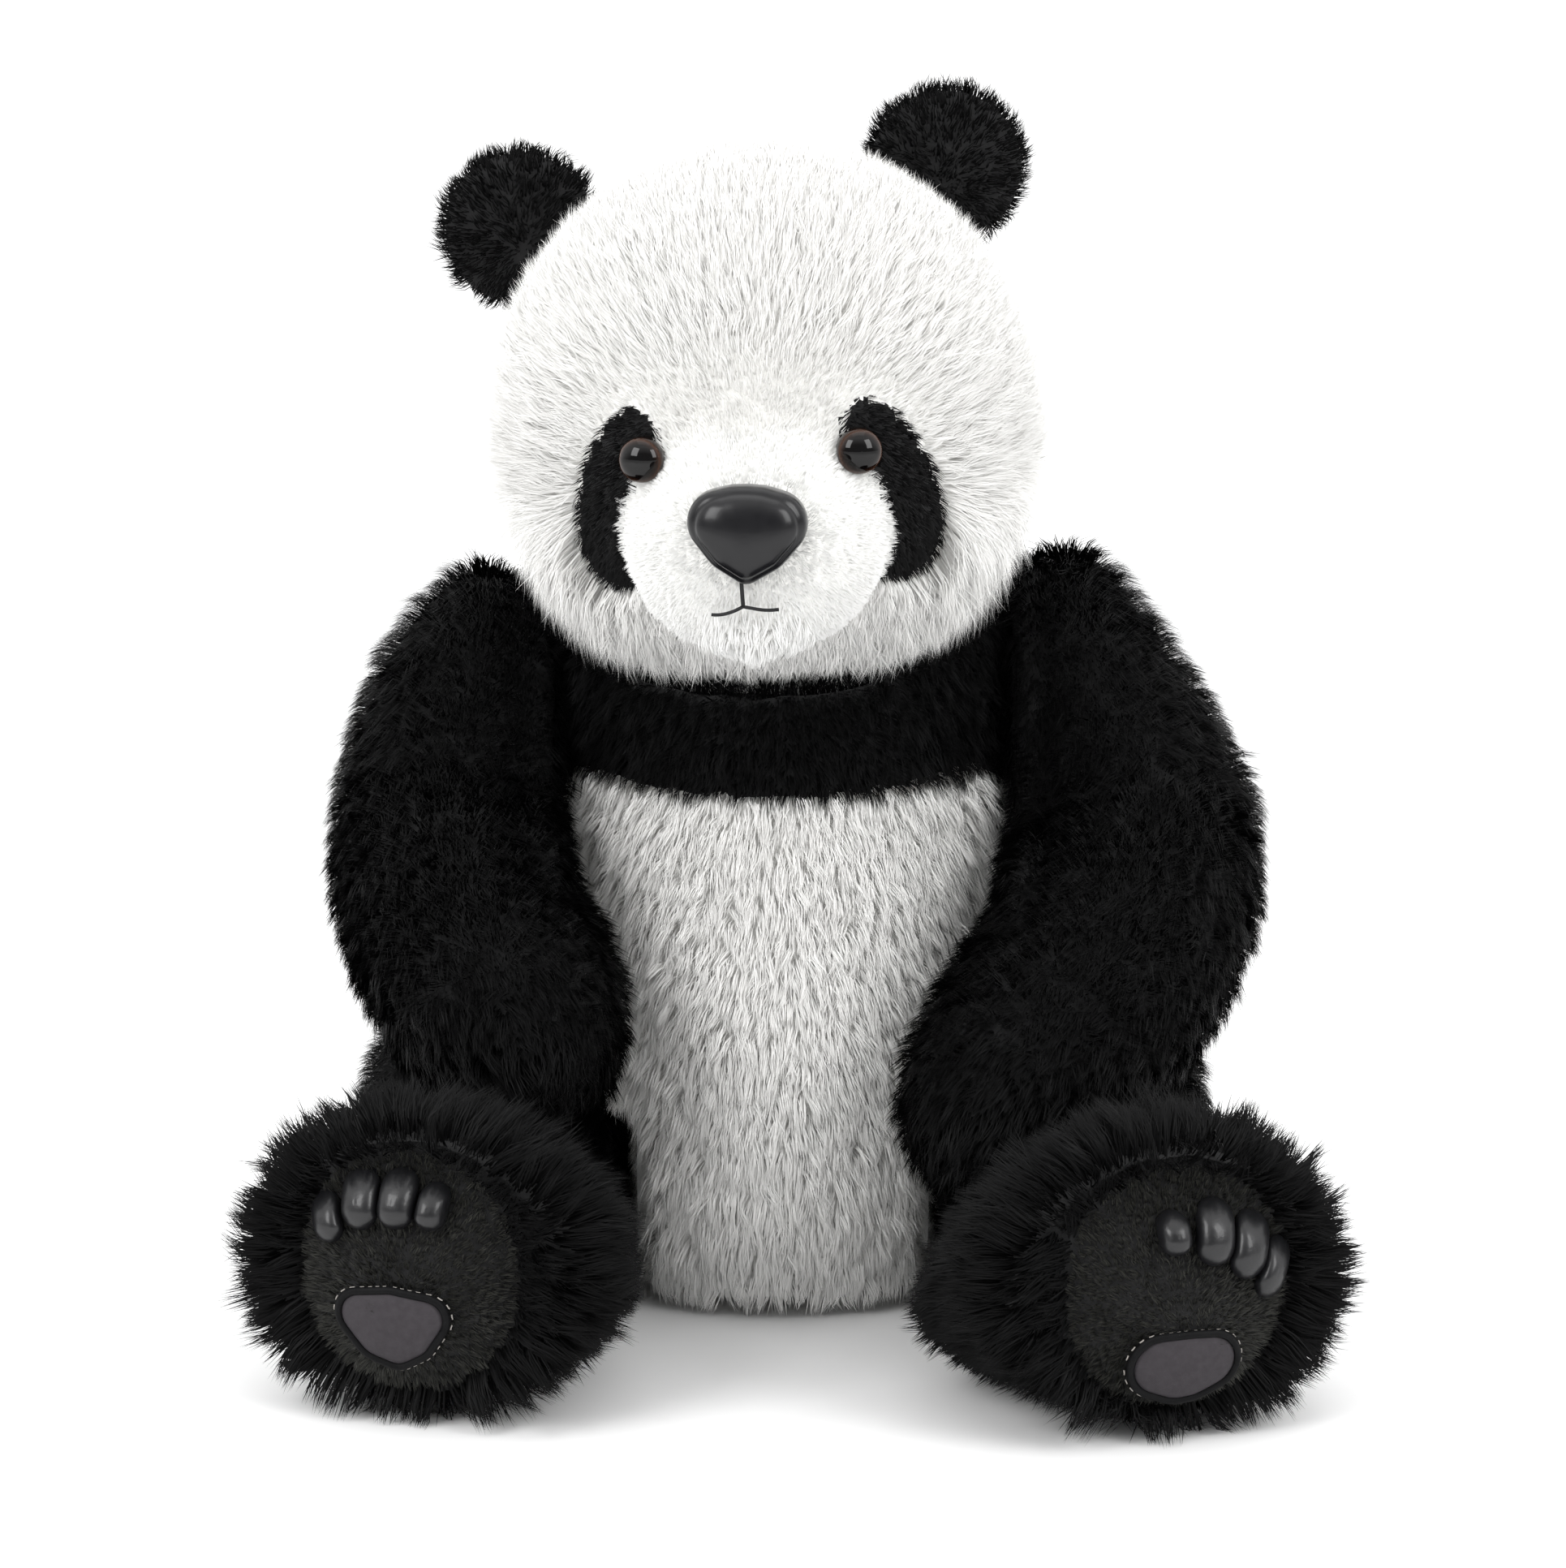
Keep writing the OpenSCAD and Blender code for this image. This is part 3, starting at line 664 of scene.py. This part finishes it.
def head_length(p, n):
    d = (p / MM - HEAD) @ FACE
    x, y, z = d[:, 0], d[:, 1], d[:, 2]
    long = np.interp(z, [-75, -50, -30, 0, 40, 79], [14.0, 17.0, 18.0, 12.5, 11.0, 11.0])
    long = long + 4.0 * np.clip((np.abs(x) - 25) / 30, 0, 1) * np.clip((-25 - z) / 25, 0, 1)
    muzzle = np.linalg.norm(d - np.array([0, -72, -24]), axis=1)
    long = 4.0 + (long - 4.0) * np.clip((muzzle - 34) / 26, 0, 1) ** 1.3
    for side in (-1, 1):
        eye = np.linalg.norm(d - np.array([side * 33, -71, -4]), axis=1)
        long = 4.5 + (long - 4.5) * np.clip((eye - 14) / 20, 0, 1)
    return np.where((y < -40) & (z < -40) & (np.abs(x) < 26), np.minimum(long, 9.0), long)

in_neck = near(NECK, 34)
for number, panel in enumerate(head_panels[:3]):
    grow(panel + "_pile", head_skin, head_panels, panel, 2.5, head_comb, head_length, 0.3, (24, 66), 10, 0.3,
         WHITE_PILE, "head", 11 + number, where=bare(in_neck), behind=0.5, wave=4.0)

# %% Eye patches, muzzle and chin
for hand in HANDS:
    eye = on_face(HANDS[hand] * 30, -73, -2)
    patch_comb = mixed((0.5, away_from(eye)), (1.0, steady((HANDS[hand] * 0.5, 0, -1))))
    grow(f"eye_patch_{hand}_pile", head_skin, head_panels, f"eye_patch_{hand}", 2.2, patch_comb, even(4.6),
         0.3, (20, 52), 10, 0.35, BLACK_PILE, "head", 21 + HANDS[hand], where=bare(near(eye, 7.4)))

nose_middle = on_face(0, -106, -18)
grow("muzzle_cover_pile", head_skin, head_panels, "muzzle_cover", 3.2, away_from(nose_middle), even(3.2),
     0.28, (30, 60), 10, 0.3, MUZZLE_PILE, "head", 31)
grow("chin_pile", head_skin, head_panels, "chin", 2.0, steady((0, 0.1, -1)), even(5.5), 0.36, (25, 66), 20,
     0.5, MUZZLE_PILE, "head", 32)

# %% [markdown]
# ## The ears
# Each ear is a thick round pad, turned right side out and sewn to the crown over its lower third. Its
# front is the shorter pile, its back the long one, and both are combed out from the middle so that the
# rim looks fringed.

# %% Ears
for hand in HANDS:
    panels = [f"ear_front_{hand}", f"ear_back_{hand}"]
    ear_skin = skin(f"ear_{hand}_skin", panels, [], 2.6, {panels[0]: 2.4, panels[1]: 3.6}, 1.0)
    cut_cloth(ear_skin, panels, [BLACK_CLOTH] * 2, "head")
    middle = HEAD + (np.array([-71, 18, 51]) if hand == "right" else np.array([52, 18, 69]))
    above = bare(near(HEAD, 76.5))
    grow(f"ear_front_{hand}_pile", ear_skin, panels, panels[0], 1.8, away_from(middle + np.array([0, 6, -6])),
         even(5.5), 0.36, (25, 62), 16, 0.5, BLACK_PILE, "head", 41, where=above)
    grow(f"ear_back_{hand}_pile", ear_skin, panels, panels[1], 1.4, away_from(middle + np.array([0, -6, -6])),
         even(7.5), 0.38, (25, 62), 18, 0.55, BLACK_PILE, "head", 43, where=above)

# %% [markdown]
# ## The torso
# The torso is a bean bag shape with four panels round it: a black yoke over the shoulders, a white belly
# in front, a white back and a seat below. The stuffing is loose enough for it to spread where it sits.
# The tail is a separate tuft sewn to the back.

# %% Torso
def under_arms(p, n):
    """The flat place on each side where an arm is sewn on."""
    return (np.abs(p[:, 0] / MM + 2) > 59) & (np.abs(n[:, 0]) > 0.7)

torso_panels = ["belly_panel", "yoke_panel", "back_panel", "seat_panel"]
torso_all = torso_panels + ["neck_filling"]
torso_skin = skin("torso_skin", torso_all, ["torso_filling"], 4.2,
                  {"belly_panel": WHITE_SUNK, "yoke_panel": 4.0, "back_panel": WHITE_SUNK,
                   "seat_panel": SHORT_SUNK, "neck_filling": 1.0}, 2.0, under_arms)
cut_cloth(torso_skin, torso_panels, [WHITE_CLOTH, BLACK_CLOTH, WHITE_CLOTH, WHITE_CLOTH], "torso")

under_head = near(HEAD, 80.5)
down = mixed((1.0, steady((0, -0.1, -1))), (0.35, away_from(spot(0, 0, 100))))
grow("belly_panel_pile", torso_skin, torso_all, "belly_panel", 2.1, down, even(10.5), 0.34, (28, 68), 14, 0.42,
     WHITE_PILE, "torso", 51)
grow("yoke_panel_pile", torso_skin, torso_all, "yoke_panel", 1.9, down, even(10.0), 0.36, (24, 64), 14, 0.45,
     BLACK_PILE, "torso", 52, where=bare(under_head))
grow("back_panel_pile", torso_skin, torso_all, "back_panel", 1.2, down, even(10.5), 0.42, (28, 68), 16, 0.5,
     WHITE_PILE, "torso", 53, behind=1.0)
grow("seat_panel_pile", torso_skin, torso_all, "seat_panel", 0.7, away_from(spot(0, 0, 20)), even(4.0), 0.42,
     (40, 70), 24, 0.5, WHITE_PILE, "torso", 54, where=lambda p, n: p[:, 2] > 4 * MM)

tail_skin = skin("tail_skin", ["tail"], [], 2.8, {"tail": 3.8}, 1.0)
cut_cloth(tail_skin, ["tail"], [WHITE_CLOTH], "torso")
grow("tail_pile", tail_skin, ["tail"], "tail", 1.4, steady((0, 0.6, -0.8)), even(9.0), 0.42, (20, 60), 20, 0.6,
     WHITE_PILE, "torso", 55)

# %% [markdown]
# ## The arms
# An arm is one tube of long black pile, cut wide at the wrist and closed by a round tip that is the paw.
# The pile runs down the arm and fans out over the end of the paw, where it makes a fringe.

# %% Arms
ARM_LINES = {"right": [(-84, 14, 215), (-91, -5, 172), (-98, -34, 137), (-92, -64, 117), (-80, -90, 103),
                       (-72, -106, 92), (-65, -132, 79)],
             "left": [(83, 16, 222), (88, -3, 178), (105, -34, 137), (95, -66, 109), (75, -93, 88),
                      (59, -112, 74), (44, -135, 61)]}
for hand in HANDS:
    cover = f"arm_cover_{hand}"
    root = HANDS[hand] * 66.2 - 2
    sewn = lambda p, n, side=HANDS[hand], x=root: (np.abs(p[:, 0] / MM - x) < 5) & (n[:, 0] * side < -0.6)
    arm_skin = skin(f"arm_{hand}_skin", [cover], [f"arm_filling_{hand}"], 3.8, {cover: 4.8}, 1.5, sewn)
    cut_cloth(arm_skin, [cover], [BLACK_CLOTH], f"arm_{hand}")
    line = [tuple(spot(*p)) for p in ARM_LINES[hand]]
    tip = np.array(line[-1]) * MM

    def arm_length(p, n, tip=tip):
        return np.interp(np.linalg.norm(p - tip, axis=1) / MM, [0, 30, 60], [12.5, 12.0, 10.5])

    arm_comb = mixed((1.0, along_line(*line)), (0.25, steady((0, 0, -1))))
    grow(cover + "_pile", arm_skin, [cover], cover, 1.6, arm_comb, arm_length, 0.38, (22, 62), 14, 0.48,
         BLACK_PILE, f"arm_{hand}", 61 + HANDS[hand], behind=0.8)

# %% [markdown]
# ## The legs
# A leg is a rounded haunch against the torso and a long foot that comes forward and ends in an upright
# sole. The long pile is combed forward and out, and round the sole it stands out like a mane. The sole
# itself is a disc of the short pile.

# %% Legs
for hand in HANDS:
    side = HANDS[hand]
    haunch, foot, sole = f"haunch_cover_{hand}", f"foot_cover_{hand}", f"sole_{hand}"
    panels = [haunch, foot, sole]
    fillers = [f"haunch_filling_{hand}", f"foot_filling_{hand}", f"heel_pad_{hand}"]
    leg_skin = skin(f"leg_{hand}_skin", panels, fillers, 3.8, {haunch: 4.8, foot: 4.8, sole: 1.6}, 1.4)
    cut_cloth(leg_skin, panels, [BLACK_CLOTH] * 3, f"leg_{hand}")
    sole_middle = on_sole(hand, 0, 0, 0)
    out_way = on_sole(hand, 0, 0, 1) - sole_middle

    def foot_comb(p, n, centre=sole_middle, out_way=out_way, side=side):
        from_sole = p / MM - centre
        depth = -(from_sole @ out_way)
        flat = from_sole + depth[:, None] * out_way
        ahead = np.clip(depth / 60, 0, 1)[:, None]
        radial = unit(flat) - 0.25 * out_way
        back = unit(flat) * 0.5 - 0.9 * out_way + np.array([side * 0.2, 0, -0.35])
        return unit(radial * (1 - ahead) + back * ahead)

    def foot_length(p, n, centre=sole_middle, out_way=out_way):
        depth = -((p / MM - centre) @ out_way)
        return np.interp(depth, [-5, 8, 30, 70], [14.0, 18.0, 14.0, 10.5])

    grow(foot + "_pile", leg_skin, panels, foot, 1.5, foot_comb, foot_length, 0.42, (24, 60), 24, 0.62,
         BLACK_PILE, f"leg_{hand}", 71 + side)
    haunch_comb = mixed((1, steady((0, -0.5, -0.8))), (0.6, away_from(spot(side * 80, -15, 41))))
    grow(haunch + "_pile", leg_skin, panels, haunch, 1.4, haunch_comb, even(10.5), 0.38, (24, 62), 16, 0.5,
         BLACK_PILE, f"leg_{hand}", 75 + side)
    sole_comb = away_from(on_sole(hand, side * 3, -13, 0))
    grow(sole + "_pile", leg_skin, panels, sole, 2.6, sole_comb, even(3.8), 0.32, (18, 52), 12, 0.4,
         SOLE_PILE_PAINTED_SHEEN, f"leg_{hand}", 79 + side)

# %% [markdown]
# ## Hard trim
# The nose is moulded plastic on a stem with a washer behind the cloth. The eyes are a brown cup, a black
# pupil and a clear dome. The toes and heel pads are leather pieces sewn to the sole. The mouth is
# stitched in thread: one short stroke down from the nose and a lip that curves away on each side.

# %% Trim materials
def plastic(name, colour, rough, coat=0.0, grain=400.0, depth=0.00004, gloss=0.3):
    made, tree, shader = new_material(name)
    pale = [c * 1.25 + 0.002 for c in colour]
    tree.links.new(ramp(tree, noise(tree, grain), [(0.35, colour), (0.75, pale)]), shader.inputs["Base Color"])
    shader.inputs["Roughness"].default_value = rough
    shader.inputs["Specular IOR Level"].default_value = gloss
    shader.inputs["Coat Weight"].default_value = coat
    shader.inputs["Coat Roughness"].default_value = 0.06
    bump(tree, shader, noise(tree, grain * 2), 0.25, depth)
    return made

NOSE_PLASTIC = plastic("nose_plastic", (0.004, 0.004, 0.005), 0.27, 0.1, 250.0, 0.0001, 0.32)
TOE_LEATHER = plastic("toe_leather", (0.005, 0.005, 0.006), 0.36, 0.15, 300.0, 0.0004, 0.45)
HEEL_LEATHER = plastic("heel_leather", (0.034, 0.03, 0.034), 0.66, 0.0, 500.0, 0.0002, 0.2)
RIM_LEATHER = plastic("heel_rim", (0.002, 0.002, 0.0024), 0.6, 0.0, 300.0, 0.0002, 0.12)
THREAD = plastic("thread", (0.01, 0.01, 0.011), 0.6, 0.0, 900.0, 0.0003)
WHITE_THREAD = plastic("white_thread", (0.75, 0.74, 0.7), 0.7, 0.0, 900.0, 0.0003)
PALE_THREAD = plastic("pale_thread", (0.3, 0.28, 0.26), 0.6, 0.0, 900.0, 0.0003)
WASHER = plastic("washer_plastic", (0.6, 0.6, 0.58), 0.4)
FILLING = cloth_material("filling_fibre", (0.85, 0.85, 0.84), 300.0)
POUCH = cloth_material("pouch_cloth", (0.7, 0.68, 0.62))
PELLETS = plastic("pellets", (0.7, 0.7, 0.66), 0.4)

# %% CAD pieces that stay
def finish_with(material, *names):
    for name in names:
        data = node[name].data
        data.materials.clear()
        data.materials.append(material)

finish_with(FILLING, "torso_filling", "neck_filling", "head_filling", "muzzle_filling")
finish_with(POUCH, "pellet_pouch")
finish_with(PELLETS, "pellets")
finish_with(WHITE_THREAD, "neck_seam")
finish_with(WASHER, "nose_washer")
for hand in HANDS:
    finish_with(FILLING, f"arm_filling_{hand}", f"haunch_filling_{hand}", f"foot_filling_{hand}")
    finish_with(WASHER, f"eye_washer_{hand}")

# %% Outlines
EDGE_STEPS = 72

def outline(circles, steps=EDGE_STEPS):
    """The outline that a cord takes when drawn tight round some circles (x, y, radius), as steps points."""
    turns = np.linspace(0, 2 * math.pi, 360, endpoint=False)
    ways = np.stack([np.cos(turns), np.sin(turns)], axis=1)
    reach = np.max([ways @ np.array(c[:2]) + c[2] for c in circles], axis=0)
    rays = np.linspace(0, 2 * math.pi, steps, endpoint=False)
    far = []
    for ray in rays:
        facing = np.cos(turns - ray)
        far.append(np.min(reach[facing > 0.05] / facing[facing > 0.05]))
    return np.stack([np.cos(rays), np.sin(rays)], axis=1) * np.array(far)[:, None]

def shell(name, rings, place, material, source, body):
    """A closed skin through rings of points (each n x 3, in the piece's own directions), placed by place.
    source is the CAD node that it stands for, if it stands for one."""
    n = len(rings[0])
    points = np.concatenate([[place(*p) for p in ring] for ring in rings]) * MM
    faces = []
    for k in range(len(rings) - 1):
        for i in range(n):
            j = (i + 1) % n
            faces.append([k * n + i, k * n + j, (k + 1) * n + j, (k + 1) * n + i])
    faces += [list(range(n))[::-1], [(len(rings) - 1) * n + i for i in range(n)]]
    mesh = bpy.data.meshes.new(name)
    mesh.from_pydata(points.tolist(), [], faces)
    mesh.polygons.foreach_set("use_smooth", [len(f) == 4 for f in faces])
    mesh.materials.append(material)
    ob = link(bpy.data.objects.new(name, mesh))
    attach(ob, body)
    if source:
        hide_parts(source)
    return ob

def ring_at(edge, scale, height, shift=(0, 0)):
    return np.column_stack([edge * scale + np.array(shift), np.full(len(edge), height)])

# %% [markdown]
# The nose is one moulding: a rounded triangle with a sloped side wall, a rolled edge and a shallow dome.
# Rings of its outline, each a little smaller and further out than the last, give all of that in one
# closed skin.

# %% Nose
NOSE = (0.0, -19.4)
NOSE_SWING = math.radians(-4)
nose_edge = outline([(-7.4, 3.2, 8.9), (7.4, 3.2, 8.9), (-3.5, 6.4, 6.8), (3.5, 6.4, 6.8), (0, 7.1, 6.3),
                     (-3.9, -2.5, 8.0), (3.9, -2.5, 8.0), (0, -9.4, 4.1)])

def nose_place(x, up, out):
    c, s = math.cos(NOSE_SWING), math.sin(NOSE_SWING)
    return on_face(NOSE[0] + x * c - up * s, -98.5 - out, NOSE[1] + x * s + up * c)

wall = [(0.90, -6.0), (0.99, -2.0), (1.0, 0.5), (1.0, 2.6)]
rolled_edge = [(0.985, 4.0), (0.95, 5.1), (0.90, 5.7), (0.87, 5.95)]
dome_top = [(0.85 * math.cos(a) ** 0.9, 6.0 + 4.6 * math.sin(a)) for a in np.linspace(0.08, 1.52, 14)]
nose_rings = [ring_at(nose_edge, k, h, (0, -0.8 * max(0, h - 5.9) / 5))
              for k, h in wall + rolled_edge + dome_top]
shell("nose_button", nose_rings, nose_place, NOSE_PLASTIC, "nose", "head")

# %% Mouth
def tube(name, path, radius, material, source, body, sides=8):
    """A round thread through points, in millimetres."""
    path = np.array(path, float)
    along = unit(np.gradient(path, axis=0))
    across = unit(np.cross(along, np.array([0.31, 0.9, 0.2])))
    other = np.cross(along, across)
    turns = np.linspace(0, 2 * math.pi, sides, endpoint=False)
    rings = [[p + radius * (math.cos(t) * a + math.sin(t) * b) for t in turns]
             for p, a, b in zip(path, across, other)]
    return shell(name, rings, lambda x, y, z: np.array([x, y, z]), material, source, body)

def on_muzzle(x, up, lift=0.3):
    """The point of the muzzle or chin straight behind a place on the face, lifted off it."""
    inward = on_face(0, 1, 0) - on_face(0, 0, 0)
    start, way = Vector(on_face(x, -130, up) * MM), Vector(inward)
    hits = [tree_of(n).ray_cast(start, way)[0] for n in ("muzzle_cover", "chin", "mouth_stitching")]
    depth = min([(h - start).length for h in hits if h is not None], default=0.03)
    return np.array(start + way * depth) / MM - inward * lift

MOUTH_X, MOUTH_TOP, LIP = -2.3, -32.5, -39.6
stroke = [on_muzzle(MOUTH_X, z) for z in np.linspace(MOUTH_TOP, LIP + 0.4, 8)]
tube("mouth_stitch_down", stroke, 0.6, THREAD, "mouth_stitching", "head")
for side, reach, drop in ((-1, 8.8, 2.6), (1, 9.6, 1.7)):
    curve = [on_muzzle(MOUTH_X + side * reach * t, LIP - drop * (1 - (1 - t) ** 1.8) + 0.5 * t ** 3)
             for t in np.linspace(0, 1, 14)]
    piece = tube(f"mouth_stitch_{'right' if side < 0 else 'left'}", curve, 0.5, THREAD, None, "head")

# %% [markdown]
# Each eye is a plastic eye as sold for toys: a clear cap over a brown iris with a black pupil so wide
# that only a thin brown edge shows. The cap, iris and pupil are closed inside one dome here, coloured by
# the distance from its middle.

# %% Eyes
PUPIL, PUPIL_EDGE = (0.0015, 0.0015, 0.0017), (0.002, 0.0015, 0.0015)
IRIS_DARK, IRIS, CUP_RIM = (0.012, 0.005, 0.003), (0.04, 0.014, 0.006), (0.006, 0.003, 0.002)
EYE_R, EYE_RISE, EYE_STEPS = 6.3, 4.6, 48

def eye_material():
    made, tree, shader = new_material("eye_dome")
    stops = [(0.0, PUPIL), (0.72, PUPIL_EDGE), (0.84, IRIS_DARK), (0.93, IRIS), (1.0, CUP_RIM)]
    tree.links.new(ramp(tree, own_map(tree)["X"], stops), shader.inputs["Base Color"])
    shader.inputs["Roughness"].default_value = 0.07
    shader.inputs["Specular IOR Level"].default_value = 0.32
    return made

EYE_DOME = eye_material()
for hand in HANDS:
    side = HANDS[hand]
    facing = FACE @ unit(np.array([side * 0.2, -1.0, 0.02]))
    right = unit(np.cross(facing, np.array([0, 0, -1.0])))
    over = np.cross(facing, right)
    base = on_face(side * 30, -73.1, -2)

    def eye_place(x, up, out, base=base, right=right, over=over, facing=facing):
        return base + right * x + over * up + facing * out

    edge = outline([(0, 0, EYE_R)], EYE_STEPS)
    steps = [(1.0, -4.0), (1.0, -0.6)]
    steps += [(math.cos(a), EYE_RISE * math.sin(a)) for a in np.linspace(0.05, 1.5, 14)]
    dome = shell(f"eye_dome_{hand}", [ring_at(edge, k, h) for k, h in steps], eye_place, EYE_DOME,
                 f"eye_lens_{hand}", "head")
    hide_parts(f"eye_cup_{hand}", f"eye_pupil_{hand}")
    uv = dome.data.uv_layers.new(name=STRAND_MAP)
    index = np.empty(len(dome.data.loops), np.int32)
    dome.data.loops.foreach_get("vertex_index", index)
    share = np.repeat([k for k, h in steps], EYE_STEPS)[index]
    turn = (index % EYE_STEPS) / EYE_STEPS
    uv.data.foreach_set("uv", np.stack([share * 0.999, turn], axis=1).astype(np.float32).ravel())

# %% [markdown]
# The sole carries a heel pad of smooth leather cloth in a thin rolled rim, stitched on with pale thread,
# and a row of toes, which are puffed leather pillows drawn in by a stitch. The sole is a shallow dome, so
# every outline is laid onto that dome first.

# %% Soles
DOME_R, DOME_RISE = 55.0, 8.0
HEEL_OUTLINE = {"right": [(-8.6, 2.8, 6.2), (8.8, 2.6, 6.0), (0, 3.8, 6.2), (1.0, -5.8, 5.4),
                          (-3.6, -2.6, 6.8), (4.8, -2.6, 6.4)],
                "left": [(-6.5, 0.6, 8.4), (6.0, 1.4, 7.8), (0.5, 0.2, 9.2), (-2, -1.0, 8.4)]}
HEEL_MIDDLE = {"right": (-2.0, -14.0), "left": (0.8, -21.0)}
HEEL_STITCHES = 34
# Each toe is (across, up, turn in degrees, half width, half height).
TOES = {"right": [(-22.0, 13.5, 20, 4.5, 7.0), (-12.4, 19.4, 4, 5.4, 8.4), (-1.6, 20.2, -3, 5.2, 8.2),
                  (8.2, 18.6, -8, 4.2, 6.4)],
        "left": [(-2.6, 15.5, 4, 4.4, 6.0), (9.0, 15.0, -6, 5.4, 9.0), (19.2, 10.6, -14, 5.4, 9.4),
                 (26.2, 3.6, -24, 4.2, 8.6)]}

def dome_height(x, y):
    return DOME_RISE - DOME_R + np.sqrt(DOME_R ** 2 - x ** 2 - y ** 2)

for hand in HANDS:
    body = f"leg_{hand}"
    cx, cy = HEEL_MIDDLE[hand]
    edge = outline(HEEL_OUTLINE[hand])

    def heel_place(x, y, out, hand=hand, cx=cx, cy=cy):
        return on_sole(hand, x + cx, y + cy, dome_height(x + cx, y + cy) + out)

    steps = [(0.98, -2.5), (0.98, 0.9), (0.96, 1.4), (0.9, 1.9), (0.8, 2.15), (0.6, 2.3), (0.3, 2.35),
             (0.05, 2.35)]
    shell(f"heel_{hand}_leather", [ring_at(edge, k, h) for k, h in steps], heel_place, HEEL_LEATHER,
          f"heel_pad_{hand}", body)
    cord = [heel_place(x, y, 1.25) for x, y in np.concatenate([edge, edge[:3]]) * 1.03]
    tube(f"heel_{hand}_rim", cord, 1.15, RIM_LEATHER, f"heel_stitching_{hand}", body)
    for k in range(HEEL_STITCHES):
        at = k * EDGE_STEPS // HEEL_STITCHES
        a, b = edge[at % EDGE_STEPS] * 1.13, edge[(at + 1) % EDGE_STEPS] * 1.13
        stitch = [heel_place(*(a + (b - a) * t), 0.9 + 0.25 * math.sin(math.pi * t))
                  for t in np.linspace(0, 0.9, 5)]
        piece = tube(f"heel_{hand}_stitch_{k:02d}", stitch, 0.2, PALE_THREAD, None, body, sides=6)
    for k, (x, y, turn, wide, tall) in enumerate(TOES[hand]):
        c, s = math.cos(math.radians(turn)), math.sin(math.radians(turn))
        ball = outline([(0, -(tall - wide), wide), (0, tall - wide, wide)], 40)

        def toe_place(u, v, out, x=x, y=y, c=c, s=s, hand=hand, tall=tall):
            a, b = x + u * c - v * s, y + u * s + v * c
            return on_sole(hand, a, b, dome_height(a, b) + out - 0.25 * v ** 2 / tall)

        steps = [(0.9, -3.0), (1.0, 0.2)]
        steps += [(math.cos(t) ** 0.8, 0.4 + 4.6 * math.sin(t)) for t in np.linspace(0.12, 1.5, 12)]
        piece = shell(f"toe_{hand}_{k + 1}", [ring_at(ball, f, h) for f, h in steps], toe_place, TOE_LEATHER,
                      f"toe_pads_{hand}" if k == 0 else None, body)
print("trim made")

# %% The floor
floor = bpy.data.meshes.new("floor")
floor.from_pydata([(-9, -9, 0), (9, -9, 0), (9, 9, 0), (-9, 9, 0)], [], [(0, 1, 2, 3)])
paper, paper_tree, paper_shader = new_material("white_paper")
paper_shade = ramp(paper_tree, noise(paper_tree, 30.0), [(0.0, (0.9,) * 3), (1.0, (0.93,) * 3)])
paper_tree.links.new(paper_shade, paper_shader.inputs["Base Color"])
paper_shader.inputs["Roughness"].default_value = 0.85
floor.materials.append(paper)
floor_object = link(bpy.data.objects.new("floor", floor))

# %% Working copies go
for ob in [o for o in bpy.data.objects if o.name.endswith("_skin")]:
    bpy.data.objects.remove(ob)
